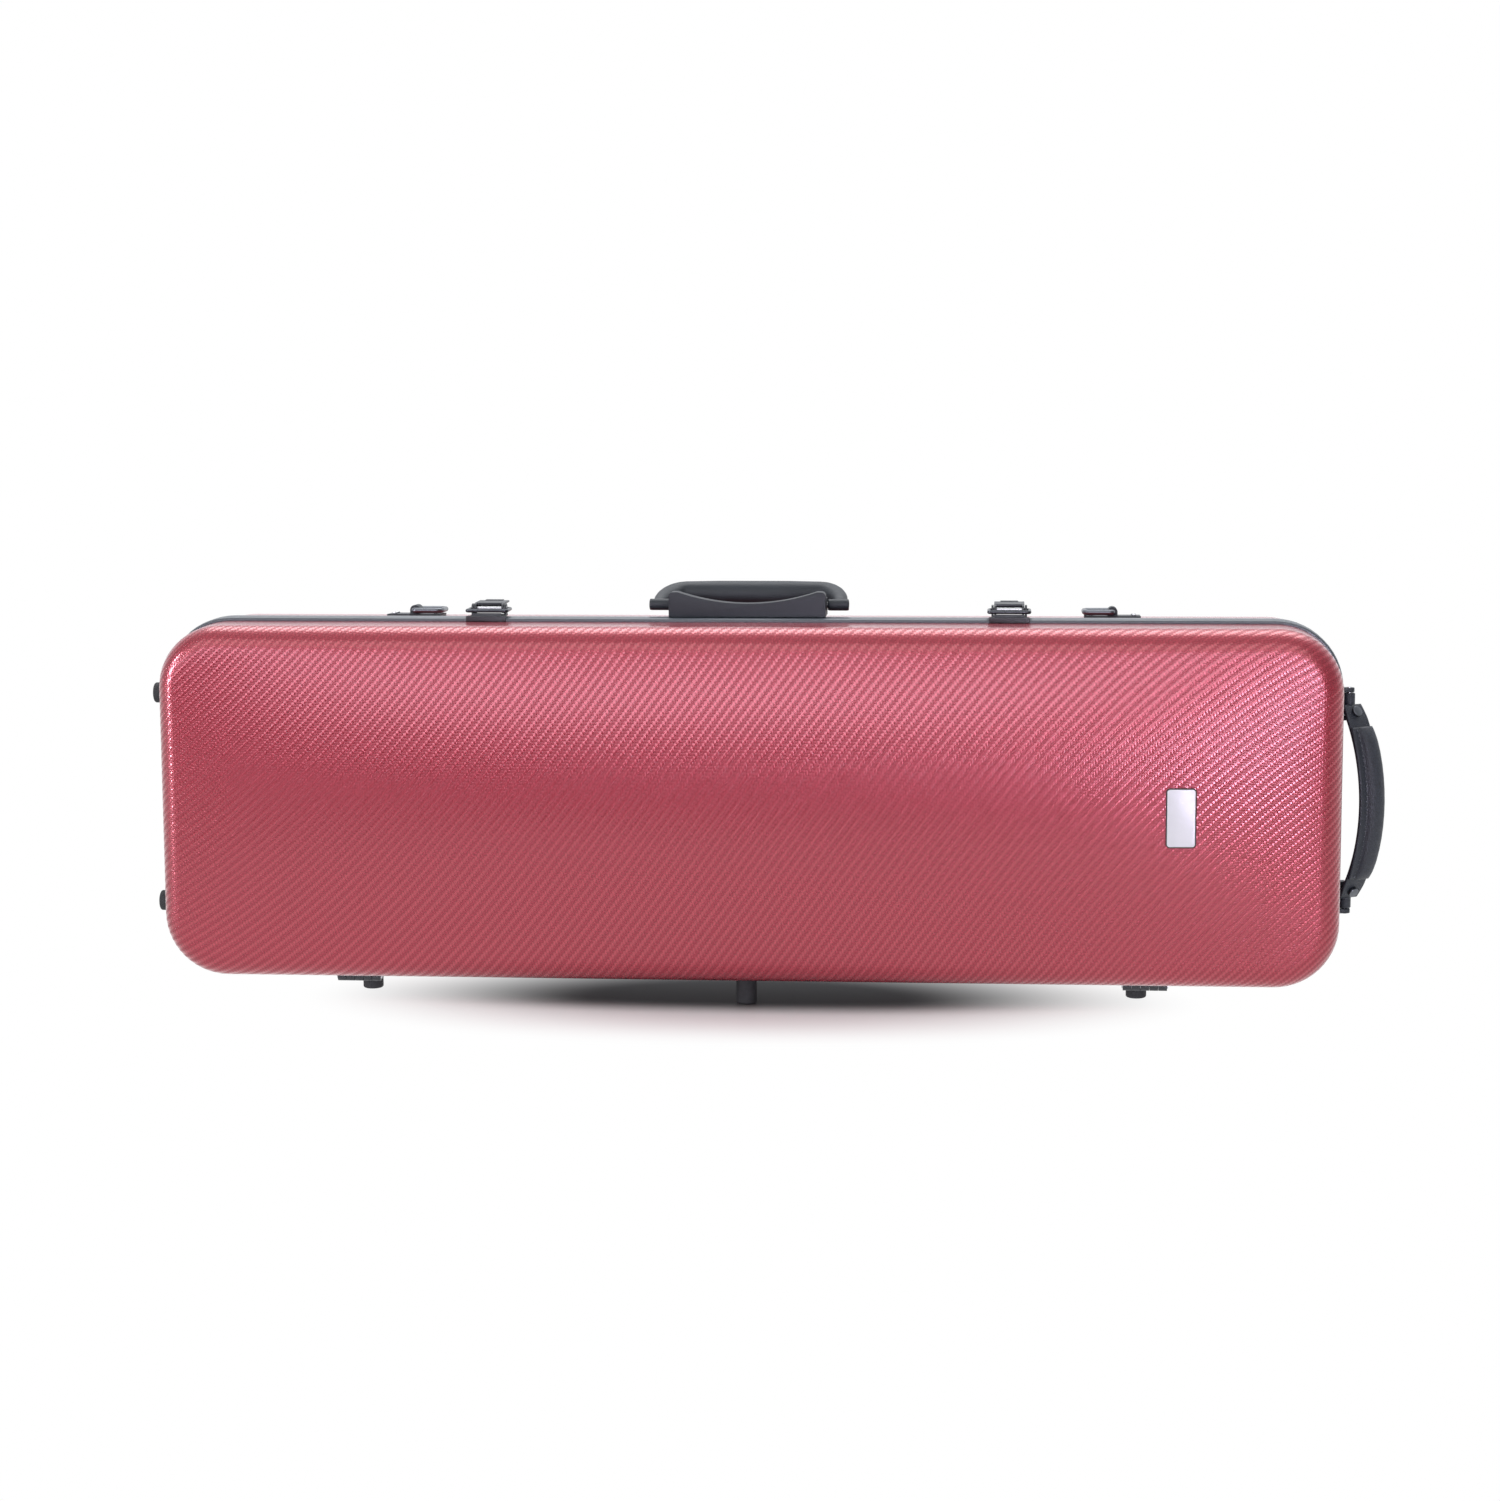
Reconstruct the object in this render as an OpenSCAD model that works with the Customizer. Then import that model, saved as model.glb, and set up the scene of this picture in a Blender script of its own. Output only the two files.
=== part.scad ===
// Oblong violin case: a crowned lid and a deeper bottom shell, hinged along one long side.
// The case stands on that hinge side, on three feet, with its handle on top.
// +X runs along the case to the end with the strap handle, +Y from the lid to the back, +Z up.
// The origin is the middle of the lid foot's sole, on the floor.

/* [Case] */
// Length of the shells at the seam
case_l = 789; // [760:1:820]
// Height of the shells at the seam
case_h = 239; // [228:1:256]
// Radius of the case's corners
corner_r = 43; // [38:1:56]
// Depth of the lid, from the seam to the top of its crown
lid_d = 60; // [56:1:70]
// Depth of the bottom shell, from the seam to the top of its crown
bottom_d = 85; // [78:1:95]
// Crown of the lid, across its height
lid_crown = 12; // [6:1:16]
// Crown of the back
back_crown = 3; // [0:1:6]
// Radius of the rolled edge between the side walls and the broad faces
roll_r = 15; // [12:1:24]
// Slope of the lid's side walls, in degrees
lid_draft = 0.5; // [0.5:0.5:7]
// Slope of the bottom shell's side walls, in degrees
bottom_draft = 2; // [1:1:5]
// Thickness of the moulded shells
shell_t = 2.6; // [2:0.1:4]
// Thickness of the padded lining
lining_t = 6; // [4:0.5:8]

/* [Valance] */
// How far the valance stands proud of the shells
valance_out = 2.5; // [2:0.5:4]
// Depth of the lid's valance
lid_valance_d = 6; // [5:0.5:8]
// Depth of the bottom shell's valance
bottom_valance_d = 14; // [12:0.5:18]

/* [Feet] */
// Height of the valance above the floor
ground_gap = 17; // [12:0.5:20]
// Diameter of a foot
foot_dia = 14; // [12:0.5:16]
// Distance of the rear feet from the middle of the case
rear_foot_x = 264; // [220:1:300]
// Height of an end peg
peg_h = 18.4; // [14:0.2:20]

/* [Fittings] */
// Distance of the latches from the middle of the case
latch_x = 176; // [150:0.5:200]
// Distance of the hinges from the middle of the case
hinge_x = 269; // [200:0.5:300]
// Place of the left shoulder strap ring along the case
ring_left_x = -234; // [-260:1:-215]
// Place of the right shoulder strap ring along the case
ring_right_x = 246; // [215:1:260]
// Length of the main handle's base
handle_base_l = 106; // [96:1:120]
// Distance of the main handle's bar behind its pivot
handle_reach = 38; // [32:1:44]
// Distance between the strap handle's two lugs
strap_span = 132; // [112:1:140]
// How far the strap handle bows away from the end
strap_bow = 24; // [14:0.5:28]
// Turn of the strap handle towards the lid, in degrees
strap_turn = 55; // [0:1:60]

/* [Hidden] */
$fn = 64;

// A running fit is this much wider than its pin, touching pieces stand a gap apart,
// and soft linings have play behind them
fit = 0.05;
gap = 0.15;
play = 0.4;
eps = 1;

half_l = case_l / 2;
half_h = case_h / 2;
top_z = half_h + valance_out;
floor_z = -top_z - ground_gap;
foot_r = foot_dia / 2;
lid_foot_y = -13.5;
rear_foot_y = 21.5;

// Hinges
hinge_w = 30;
leaf_t = 1.5;
barrel_r = 3;
hinge_pin_r = 1.5;
knuckles = 5;
leaf_l = 12;
hinge_z = -top_z - gap - leaf_t - 2 * gap - barrel_r;

// Latches: the lever turns on latch_pivot, and carries the bail on bail_pivot
latch_w = 23.8;
latch_plate_t = 1;
latch_pivot = [9, top_z + 5.3];
bail_pivot = latch_pivot + [6, -0.8];
latch_pin_r = 1.5;
bail_r = 1.2;
bail_half_w = latch_w / 2 + bail_r + 0.4;
bail_bar_y = -3.2;
ear_t = 1.5;
ear_r = 3.2;
lever_top = 3.6;
lever_t = 1.2;
lever_l = 22;

// Main handle
handle_pivot = [22, top_z + 7];
handle_pin_r = 2;
handle_eye_r = 4;
handle_eye_w = 15;
handle_rise = 4.5;
shield_h = 16.8;
shield_dip = 7.7;
shield_round = 3;

// Rings for a shoulder strap
ring_y = 50;
ring_wire_r = 1.8;
ring_w = 24;
ring_l = 19;
ring_lift = 4.2;
ring_plate = [38, 20, 1.5];

// Strap handle on the end
strap_y = 30;
strap_mid_z = -3.5;
lug_out = 10;
lug_pin_r = 1.6;
lug_pin_half = 11.5;
lug_half_l = 12;
ear_gap = 8;
ear_w = 3;
eye_half_w = 7.5;
strap_w = 20;
strap_t = 2.4;
strap_pad_l = 102;
pad_t = 5;
snap_z = 61;
snap_r = 3.6;
snap_t = 2.4;

// Accessory compartment
box_x = [62, 322];
box_z = [38, 94];
panel_t = 4;
panel_y = 19;
panel_pin_r = 1.2;
panel_lap = 2;
panel_x = [box_x[0] - panel_lap, box_x[1] + panel_lap];
panel_pin_z = box_z[0] - 0.4;

// Bow holders
spinner_x = -285;
spinner_z = 58;

// ---------- shared shapes ----------

// Moves the case from its own centre to the floor, with the lid foot over the origin
module placed() translate([0, -lid_foot_y, -floor_z]) children();

// Extrudes an outline drawn in X and Z between two depths
module slab(y0, y1) translate([0, y1, 0]) rotate([90, 0, 0]) linear_extrude(y1 - y0) children();

// A cylinder along X, Y or Z
module rod_x(r, x0, x1, y, z) translate([x0, y, z]) rotate([0, 90, 0]) cylinder(r = r, h = x1 - x0);
module rod_y(r, y0, y1, x, z) translate([x, y0, z]) rotate([-90, 0, 0]) cylinder(r = r, h = y1 - y0);
module rod_z(r, z0, z1, x, y) translate([x, y, z0]) cylinder(r = r, h = z1 - z0);

// A block between two corners
module block(a, b) translate(a) cube(b - a);

// Both sides of the case's middle
module both_sides(x) for (s = [-1, 1]) translate([s * x, 0, 0]) children();

// The case's outline, grown or shrunk evenly
module outline(grow) {
    r = corner_r + grow;
    square([case_l - 2 * corner_r, case_h + 2 * grow], center = true);
    square([case_l + 2 * grow, case_h - 2 * corner_r], center = true);
    for (x = [-1, 1], z = [-1, 1])
        translate([x * (half_l - corner_r), z * (half_h - corner_r)]) circle(r);
}

// A ring that follows the outline
module outline_ring(outer, inner) difference() {
    outline(outer);
    outline(inner);
}

// ---------- shell surface ----------

// Points around the outline at an inset: arcs at the corners, evenly spaced along the sides
corner_steps = 5;
long_steps = 8;
short_steps = 4;

function arc_points(cx, cz, r, start) =
    [for (k = [0:corner_steps]) [cx + r * cos(start + 90 * k / corner_steps),
                                 cz + r * sin(start + 90 * k / corner_steps)]];

function side_points(a, b, steps) = [for (k = [1:steps - 1]) a + (b - a) * k / steps];

function loop_points(inset) =
    let (r = max(corner_r - inset, 6), cx = half_l - inset - r, cz = half_h - inset - r,
         rx = half_l - inset, rz = half_h - inset)
    concat(
        arc_points(cx, cz, r, 0), side_points([cx, rz], [-cx, rz], long_steps),
        arc_points(-cx, cz, r, 90), side_points([-rx, cz], [-rx, -cz], short_steps),
        arc_points(-cx, -cz, r, 180), side_points([-cx, -rz], [cx, -rz], long_steps),
        arc_points(cx, -cz, r, 270), side_points([rx, -cz], [rx, cz], short_steps));

// How far the crown lifts the broad face at a place, as a share of the crown
function crown_share(x, z) = (1 - pow(z / half_h, 2)) * (1 - pow(x / half_l, 4));

// Inset at which the rolled edge meets the broad face
function roll_inset(depth, rim, r, slope) =
    r * cos(slope) + (depth - r + r * sin(slope) - rim) * tan(slope);

// Rings of the surface from the rim to the middle: [inset, depth, scale about the middle]
function surface_rings(depth, rim, r, slope) =
    let (edge = roll_inset(depth, rim, r, slope))
    concat([[0, rim, 1]],
           [for (k = [0:5]) let (a = slope + (90 - slope) * k / 5)
               [edge - r * cos(a), depth - r + r * sin(a), 1]],
           [for (s = [0.82, 0.6, 0.38, 0.18]) [edge, depth, s]]);

// Points of a shell's surface, shrunk by skin on every side but the rim: ring by ring, then the middle
function form_points(depth, crown, slope, rim, skin) =
    let (rings = surface_rings(depth - crown - skin, rim, roll_r - skin, slope))
    concat([for (ring = rings) for (p = loop_points(ring[0] + skin))
               let (q = p * ring[2], lift = ring[1] == rim ? 0 : crown * crown_share(q[0], q[1]))
               [q[0], ring[1] + lift, q[1]]],
           [[0, depth - skin, 0]]);

// Triangles that join the rings into a dome, for points that begin at a given place in the list
loop_n = len(loop_points(0));
ring_n = len(surface_rings(bottom_d, 0, roll_r, 0));
function dome_faces(first) = concat(
    [for (k = [0:ring_n - 2], i = [0:loop_n - 1])
        let (a = first + k * loop_n + i, b = first + k * loop_n + (i + 1) % loop_n)
        each [[a, b, b + loop_n], [a, b + loop_n, a + loop_n]]],
    [for (i = [0:loop_n - 1]) let (last = first + (ring_n - 1) * loop_n)
        [last + i, last + (i + 1) % loop_n, last + loop_n]]);

function turned(faces) = [for (f = faces) [f[2], f[1], f[0]]];

// Solid form of one shell
module shell_form(depth, crown, slope, rim, skin)
    polyhedron(form_points(depth, crown, slope, rim, skin),
               concat([[for (i = [loop_n - 1:-1:0]) i]], dome_faces(0)), convexity = 4);

// Wall between two such surfaces, closed by a flat strip along the rim
module shell_wall(depth, crown, slope, rim, outer_skin, inner_skin) {
    outer = form_points(depth, crown, slope, rim, outer_skin);
    inner = form_points(depth, crown, slope, rim, inner_skin);
    shift = len(outer);
    strip = [for (i = [0:loop_n - 1]) let (j = (i + 1) % loop_n)
        each [[j, i, i + shift], [j, i + shift, j + shift]]];
    polyhedron(concat(outer, inner), concat(dome_faces(0), turned(dome_faces(shift)), strip),
               convexity = 6);
}

// The bottom's form and wall, and the lid's wall on the -Y side of the seam
bottom_rim = bottom_valance_d + gap;
lid_rim = lid_valance_d + gap;
module bottom_form(skin) shell_form(bottom_d, back_crown, bottom_draft, bottom_rim, skin);
module bottom_wall(outer_skin, inner_skin)
    shell_wall(bottom_d, back_crown, bottom_draft, bottom_rim, outer_skin, inner_skin);
module lid_wall(outer_skin, inner_skin) mirror([0, 1, 0])
    shell_wall(lid_d, lid_crown, lid_draft, lid_rim, outer_skin, inner_skin);

// Depth of the lid's outer face at a place well inside its rolled edge
function lid_depth(x, z) = lid_d - lid_crown + lid_crown * crown_share(x, z);

// Height of the bottom shell's top wall at a depth, and length of its end wall
function wall_drop(y) = (y - bottom_valance_d) * tan(bottom_draft);

// Puts a fitting on the sloping top wall of the bottom shell
module on_top_wall(y) translate([0, y, half_h - wall_drop(y) + gap]) rotate([-bottom_draft, 0, 0]) children();

// ---------- shells, valances, linings ----------

// Twelve-sided holes that the spigots of the feet and the end pegs push into
spigot_r = 4;
hole_depth = 14;
peg_z = [-79, 67];

module foot_hole(x, y, slack) translate([x, y, floor_z])
    cylinder(r = spigot_r + slack, h = hole_depth - half_h - floor_z, $fn = 12);

module bottom_spigot_holes(slack) {
    for (x = [-rear_foot_x, rear_foot_x]) foot_hole(x, rear_foot_y, slack);
    for (z = peg_z) translate([-half_l - eps, rear_foot_y, z]) rotate([0, 90, 0])
        cylinder(r = spigot_r + slack, h = hole_depth + eps, $fn = 12);
}

module lid_spigot_hole(slack) foot_hole(0, lid_foot_y, slack);

module bottom_shell() color("crimson") difference() {
    bottom_wall(0, shell_t);
    bottom_spigot_holes(0.3);
}

module lid_shell() color("crimson") difference() {
    lid_wall(0, shell_t);
    lid_spigot_hole(0.3);
}

valance_in = 7;
groove = [-0.5, -3.5];
groove_d = 3;

module bottom_valance() color([0.13, 0.15, 0.18]) difference() {
    slab(gap, bottom_valance_d) outline_ring(valance_out, -valance_in);
    slab(gap - eps, groove_d) outline_ring(groove[0], groove[1]);
}

module lid_valance() color([0.13, 0.15, 0.18])
    slab(-lid_valance_d, -gap) outline_ring(valance_out, -valance_in);

module seam_gasket() color([0.05, 0.05, 0.05])
    slab(2 * gap, groove_d - gap) outline_ring(groove[0] - gap, groove[1] + gap);

// The linings stay clear of the valances' inner faces
module bottom_lining() color([0.2, 0.21, 0.24]) difference() {
    bottom_wall(shell_t + play, shell_t + play + lining_t);
    slab(0, bottom_valance_d + 1) outline(1);
    bottom_spigot_holes(1);
}

module lid_lining() color([0.2, 0.21, 0.24]) difference() {
    lid_wall(shell_t + play, shell_t + play + lining_t);
    slab(-lid_valance_d - 1, 0) outline(1);
    lid_spigot_hole(1);
}

// ---------- inside the bottom shell ----------

insert_y = 22;
cavity_y = 70;
cradle_end = 24;
lower_bout = [-262, 104];
upper_bout = [-75, 86];
waist_half = 70;
neck_half = 24;
scroll = [296, 32];

// Space for the violin, seen from the lid
module violin_outline() {
    translate([lower_bout[0], 0]) circle(lower_bout[1]);
    translate([upper_bout[0], 0]) circle(upper_bout[1]);
    translate([lower_bout[0], -waist_half]) square([upper_bout[0] - lower_bout[0], 2 * waist_half]);
    translate([0, -neck_half]) square([scroll[0], 2 * neck_half]);
    translate([scroll[0], 0]) circle(scroll[1]);
}

// Foam insert between two stations along the case
module insert(x0, x1) difference() {
    intersection() {
        bottom_form(shell_t + lining_t + 2 * play);
        block([x0, insert_y, -half_h], [x1, bottom_d, half_h]);
    }
    slab(0, cavity_y) violin_outline();
}

module body_cradle() color([0.3, 0.31, 0.35]) insert(-half_l, cradle_end);

// The neck end holds an accessory box above the neck and an open pocket below it
module neck_block() color([0.3, 0.31, 0.35]) difference() {
    insert(cradle_end + gap, half_l);
    for (s = [-1, 1]) scale_z(s) block([box_x[0], 0, box_z[0]], [box_x[1], cavity_y, box_z[1]]);
}

module scale_z(s) mirror([0, 0, s < 0 ? 1 : 0]) children();

// Soft pads that carry the violin's back at its two ends
cushion_t = 8;
module suspension_pads() color([0.16, 0.17, 0.2]) {
    block([-345, cavity_y - cushion_t - gap, -42], [-318, cavity_y - gap, 42]);
    block([-38, cavity_y - cushion_t - gap, -36], [-12, cavity_y - gap, 36]);
}

// Padded strap that holds the neck down, across the neck channel
neck_strap_x = [128, 158];
module neck_strap() color([0.12, 0.12, 0.14]) difference() {
    block([neck_strap_x[0], insert_y - 12, -33], [neck_strap_x[1], insert_y - gap, 33]);
    block([neck_strap_x[0] - eps, insert_y - 9, -30], [neck_strap_x[1] + eps, insert_y + eps, 30]);
}

// Panel over the accessory box, with a pin along its lower edge
module accessory_lid() color([0.26, 0.27, 0.31]) difference() {
    union() {
        block([panel_x[0], panel_y - panel_t / 2, box_z[0]],
              [panel_x[1], panel_y + panel_t / 2, box_z[1] + panel_lap]);
        rod_x(panel_t / 2 + 0.4, panel_x[0], panel_x[1], panel_y, panel_pin_z);
    }
    rod_x(panel_pin_r + fit, panel_x[0] - eps, panel_x[1] + eps, panel_y, panel_pin_z);
}

module accessory_hinge_pin() color("silver") {
    bracket_w = 4;
    rod_x(panel_pin_r, panel_x[0] - 6, panel_x[1] + 6, panel_y, panel_pin_z);
    for (x = [panel_x[0] - 6, panel_x[1] + 6 - bracket_w])
        block([x, panel_y, panel_pin_z - 3], [x + bracket_w, insert_y - gap, panel_pin_z + 3]);
}

// Leather tab on the panel's free edge
module accessory_pull() color([0.08, 0.08, 0.1]) {
    tab = [12, 2, 18];
    translate([(box_x[0] + box_x[1] - tab[0]) / 2, panel_y - panel_t / 2 - gap - tab[1],
               box_z[1] + panel_lap - tab[2]]) cube(tab);
}

// ---------- inside the lid ----------

spinner_y = -lid_depth(spinner_x, spinner_z) + shell_t + lining_t + 3 * play;

module bow_spinner_studs() color("silver") for (s = [-1, 1]) {
    rod_y(7, spinner_y, spinner_y + 2, spinner_x, s * spinner_z);
    rod_y(2, spinner_y, spinner_y + 12, spinner_x, s * spinner_z);
    rod_y(4, spinner_y + 11, spinner_y + 13, spinner_x, s * spinner_z);
}

// Turn button: a bar with round ends on a round hub
module bow_spinner(z) color([0.09, 0.09, 0.1]) difference() {
    union() {
        slab(spinner_y + 5, spinner_y + 9) translate([spinner_x, z]) {
            square([11, 40], center = true);
            for (s = [-1, 1]) translate([0, s * 20]) circle(5.5);
        }
        rod_y(8, spinner_y + 2 + gap, spinner_y + 11 - gap, spinner_x, z);
    }
    rod_y(2 + fit, spinner_y, spinner_y + 14, spinner_x, z);
}

sleeve_y = -lid_depth(345, 0) + shell_t + lining_t + 12;
module bow_tip_sleeve() color([0.16, 0.17, 0.2]) difference() {
    block([326, sleeve_y, -72], [356, sleeve_y + 10, 72]);
    for (z = [-58, 32]) block([325, sleeve_y + 2, z], [352, sleeve_y + 8, z + 26]);
}

// ---------- name plate, feet, pegs ----------

plate_at = [288.5, -3];
plate_size = [18.4, 38];
plate_t = 1.2;
plate_tilt = 2.7;

// A blank plate on the lid's face
module name_plate() color([0.85, 0.85, 0.87])
    translate([plate_at[0], -lid_depth(plate_at[0], plate_at[1]) - gap, plate_at[1]])
    rotate([0, 0, plate_tilt]) slab(-plate_t, 0) {
        square([plate_size[0] - 4, plate_size[1]], center = true);
        square([plate_size[0], plate_size[1] - 4], center = true);
        for (x = [-1, 1], z = [-1, 1])
            translate([x * (plate_size[0] / 2 - 2), z * (plate_size[1] / 2 - 2)]) circle(2);
    }

// Rubber foot with a rounded shoulder, a spigot into the shell and a screw well in its sole
shoulder_r = 1.5;
screw_r = 1.6;
head_r = 3;
well = 4;

module foot_shape(height) difference() {
    rotate_extrude() {
        translate([0, shoulder_r]) square([foot_r, height - shoulder_r]);
        square([foot_r - shoulder_r, height]);
        translate([foot_r - shoulder_r, shoulder_r]) circle(shoulder_r);
        translate([0, height]) square([spigot_r, 5]);
    }
    translate([0, 0, -eps]) cylinder(r = head_r + fit, h = well + eps);
    cylinder(r = screw_r + fit, h = height + 6);
}

module foot_screw_shape(height) {
    translate([0, 0, well - 2]) cylinder(r = head_r, h = 2);
    translate([0, 0, well - 1]) cylinder(r = screw_r, h = height + 3);
}

// A foot reaches from the floor to just under the sloping wall
rear_foot_h = ground_gap + valance_out + wall_drop(rear_foot_y - foot_r) - gap;
lid_foot_h = ground_gap + valance_out - gap;

module rear_feet() color([0.1, 0.1, 0.11])
    both_sides(rear_foot_x) translate([0, rear_foot_y, floor_z]) foot_shape(rear_foot_h);

module lid_foot() color([0.1, 0.1, 0.11]) translate([0, lid_foot_y, floor_z]) foot_shape(lid_foot_h);

// End pegs: the same rubber form, standing out of the -X end
module peg_frame(z) translate([-half_l - peg_h - gap, rear_foot_y, z]) rotate([0, 90, 0]) children();

module end_pegs() color([0.1, 0.1, 0.11]) for (z = peg_z) peg_frame(z) foot_shape(peg_h);

module foot_screws() color("silver") {
    both_sides(rear_foot_x) translate([0, rear_foot_y, floor_z]) foot_screw_shape(rear_foot_h);
    for (z = peg_z) peg_frame(z) foot_screw_shape(peg_h);
}

module lid_foot_screw() color("silver")
    translate([0, lid_foot_y, floor_z]) foot_screw_shape(lid_foot_h);

// ---------- hinges ----------

knuckle_w = hinge_w / knuckles;
leaf_z = -top_z - gap;
leaf_hole_r = 1.8;

// Knuckles with an odd or even number, and the web that joins them to their leaf
module knuckle_set(first, side) for (k = [first:2:knuckles - 1]) {
    x0 = -hinge_w / 2 + k * knuckle_w + gap;
    x1 = x0 + knuckle_w - 2 * gap;
    rod_x(barrel_r, x0, x1, 0, hinge_z);
    if (side > 0) block([x0, gap, hinge_z], [x1, barrel_r, leaf_z]);
    else block([x0, -barrel_r, hinge_z], [x1, -gap, leaf_z]);
}

module leaf_holes(side) for (x = [-9, 9])
    rod_z(leaf_hole_r, leaf_z - 3, leaf_z + eps, x, side * 7.5);

module hinge_leaf(first, side) difference() {
    union() {
        knuckle_set(first, side);
        if (side > 0) block([-hinge_w / 2, gap, leaf_z - leaf_t], [hinge_w / 2, leaf_l, leaf_z]);
        else block([-hinge_w / 2, -leaf_l, leaf_z - leaf_t], [hinge_w / 2, -gap, leaf_z]);
    }
    rod_x(hinge_pin_r + fit, -hinge_w / 2 - eps, hinge_w / 2 + eps, 0, hinge_z);
    leaf_holes(side);
}

module hinge_case_leaves() color([0.2, 0.21, 0.23]) both_sides(hinge_x) hinge_leaf(0, 1);
module hinge_lid_leaves() color([0.2, 0.21, 0.23]) both_sides(hinge_x) hinge_leaf(1, -1);
module hinge_pins() color("silver")
    both_sides(hinge_x) rod_x(hinge_pin_r, -hinge_w / 2 - 0.6, hinge_w / 2 + 0.6, 0, hinge_z);

module leaf_screws(side) both_sides(hinge_x) for (x = [-9, 9])
    rod_z(leaf_hole_r - fit, leaf_z - leaf_t - 0.4, leaf_z, x, side * 7.5);
module hinge_case_screws() color("silver") leaf_screws(1);
module hinge_lid_screws() color("silver") leaf_screws(-1);

// ---------- latches ----------

latch_z = top_z + gap;

module latch_bases() color([0.12, 0.13, 0.15]) both_sides(latch_x) difference() {
    union() {
        block([-latch_w / 2, 1, latch_z], [latch_w / 2, bottom_valance_d - gap, latch_z + latch_plate_t]);
        for (s = [-1, 1]) {
            x0 = s * (latch_w / 2 - ear_t / 2) - ear_t / 2;
            rod_x(ear_r, x0, x0 + ear_t, latch_pivot[0], latch_pivot[1]);
            block([x0, latch_pivot[0] - ear_r, latch_z],
                  [x0 + ear_t, latch_pivot[0] + ear_r, latch_pivot[1]]);
        }
    }
    rod_x(latch_pin_r + fit, -latch_w, latch_w, latch_pivot[0], latch_pivot[1]);
}

module latch_pins() color("silver")
    both_sides(latch_x) rod_x(latch_pin_r, -latch_w / 2, latch_w / 2, latch_pivot[0], latch_pivot[1]);

cheek_l = 9;
cheek_drop = 2.8;

// Lever: a plate on two cheeks that turn on the pivot pin, a wall between them, and a lifted tip
cheek_x = latch_w / 2 - ear_t - 2 * gap;
module latch_lever() color([0.16, 0.17, 0.2]) translate([0, latch_pivot[0], latch_pivot[1]]) difference() {
    union() {
        block([-cheek_x, 0, lever_top - lever_t], [cheek_x, lever_l, lever_top]);
        block([-6, lever_l - 3, lever_top - eps], [6, lever_l + 3, lever_top + 0.4]);
        block([-cheek_x, cheek_l - lever_t, -cheek_drop], [cheek_x, cheek_l, lever_top - 0.4]);
        for (s = [-1, 1]) {
            x0 = s * (cheek_x - ear_t / 2) - ear_t / 2;
            rod_x(lever_top - 0.2, x0, x0 + ear_t, 0, 0);
            block([x0, 0, -cheek_drop], [x0 + ear_t, cheek_l, lever_top - 0.4]);
        }
    }
    rod_x(latch_pin_r + fit, -latch_w, latch_w, 0, 0);
    rod_x(bail_r + fit, -latch_w, latch_w, bail_pivot[0] - latch_pivot[0], bail_pivot[1] - latch_pivot[1]);
}

module latch_left_lever() translate([-latch_x, 0, 0]) latch_lever();
module latch_right_lever() translate([latch_x, 0, 0]) latch_lever();

// Quarter bend of round wire in the XY plane, from +X round to +Y, about its centre
module wire_bend(r, bend) rotate_extrude(angle = 90) translate([bend, 0]) circle(r);

// Bail: a wire loop from the lever's cheeks over the keeper's lip
module latch_bail() color([0.45, 0.47, 0.5]) {
    y1 = bail_pivot[0];
    z = bail_pivot[1];
    bend = 2;
    x_out = bail_half_w - bend;
    for (s = [0, 1]) mirror([s, 0, 0]) {
        rod_x(bail_r, cheek_x - ear_t, x_out, y1, z);
        rod_y(bail_r, bail_bar_y + bend, y1 - bend, bail_half_w, z);
        translate([x_out, y1 - bend, z]) wire_bend(bail_r, bend);
        translate([x_out, bail_bar_y + bend, z]) mirror([0, 1, 0]) wire_bend(bail_r, bend);
    }
    rod_x(bail_r, -x_out, x_out, bail_bar_y, z);
}

module latch_left_bail() translate([-latch_x, 0, 0]) latch_bail();
module latch_right_bail() translate([latch_x, 0, 0]) latch_bail();

// Keeper: a plate on the lid's valance with an apron in front and a lip under the bail's bar
keeper_w = 27;
module latch_keepers() color([0.12, 0.13, 0.15]) both_sides(latch_x) {
    front_y = -lid_valance_d - 1.4;
    block([-keeper_w / 2, front_y, latch_z], [keeper_w / 2, -0.6, latch_z + latch_plate_t]);
    block([-keeper_w / 2, front_y, half_h + gap],
          [keeper_w / 2, -lid_valance_d - gap, latch_z + latch_plate_t]);
    block([-10, bail_bar_y - 0.8, latch_z], [10, bail_bar_y + 0.8, bail_pivot[1] - bail_r - 2 * gap]);
}

// ---------- main handle ----------

// Front shield with a concave top edge, standing on the bottom valance
module shield_outline() {
    dip_half = handle_base_l / 2 - 6;
    dip_r = (dip_half * dip_half + shield_dip * shield_dip) / (2 * shield_dip);
    intersection() {
        translate([-handle_base_l / 2, top_z + gap]) square([handle_base_l, shield_h]);
        offset(r = shield_round) offset(delta = -shield_round) difference() {
            translate([-handle_base_l / 2, top_z + gap - shield_h]) square([handle_base_l, 2 * shield_h]);
            translate([0, top_z + gap + shield_h - shield_dip + dip_r]) circle(dip_r, $fn = 200);
        }
    }
}

module handle_base() color([0.16, 0.18, 0.21]) difference() {
    union() {
        slab(3, bottom_valance_d - gap) shield_outline();
        for (s = [-1, 1]) {
            x0 = s * (handle_base_l / 2 - 4.5) - 4.5;
            block([x0, 6, top_z + gap], [x0 + 9, handle_pivot[0] + 6, handle_pivot[1] + 5]);
        }
        block([-handle_base_l / 2, bottom_valance_d - 1, top_z + gap],
              [handle_base_l / 2, handle_pivot[0] + 6, top_z + 2.5]);
    }
    rod_x(handle_pin_r + fit, -handle_base_l, handle_base_l, handle_pivot[0], handle_pivot[1]);
}

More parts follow.
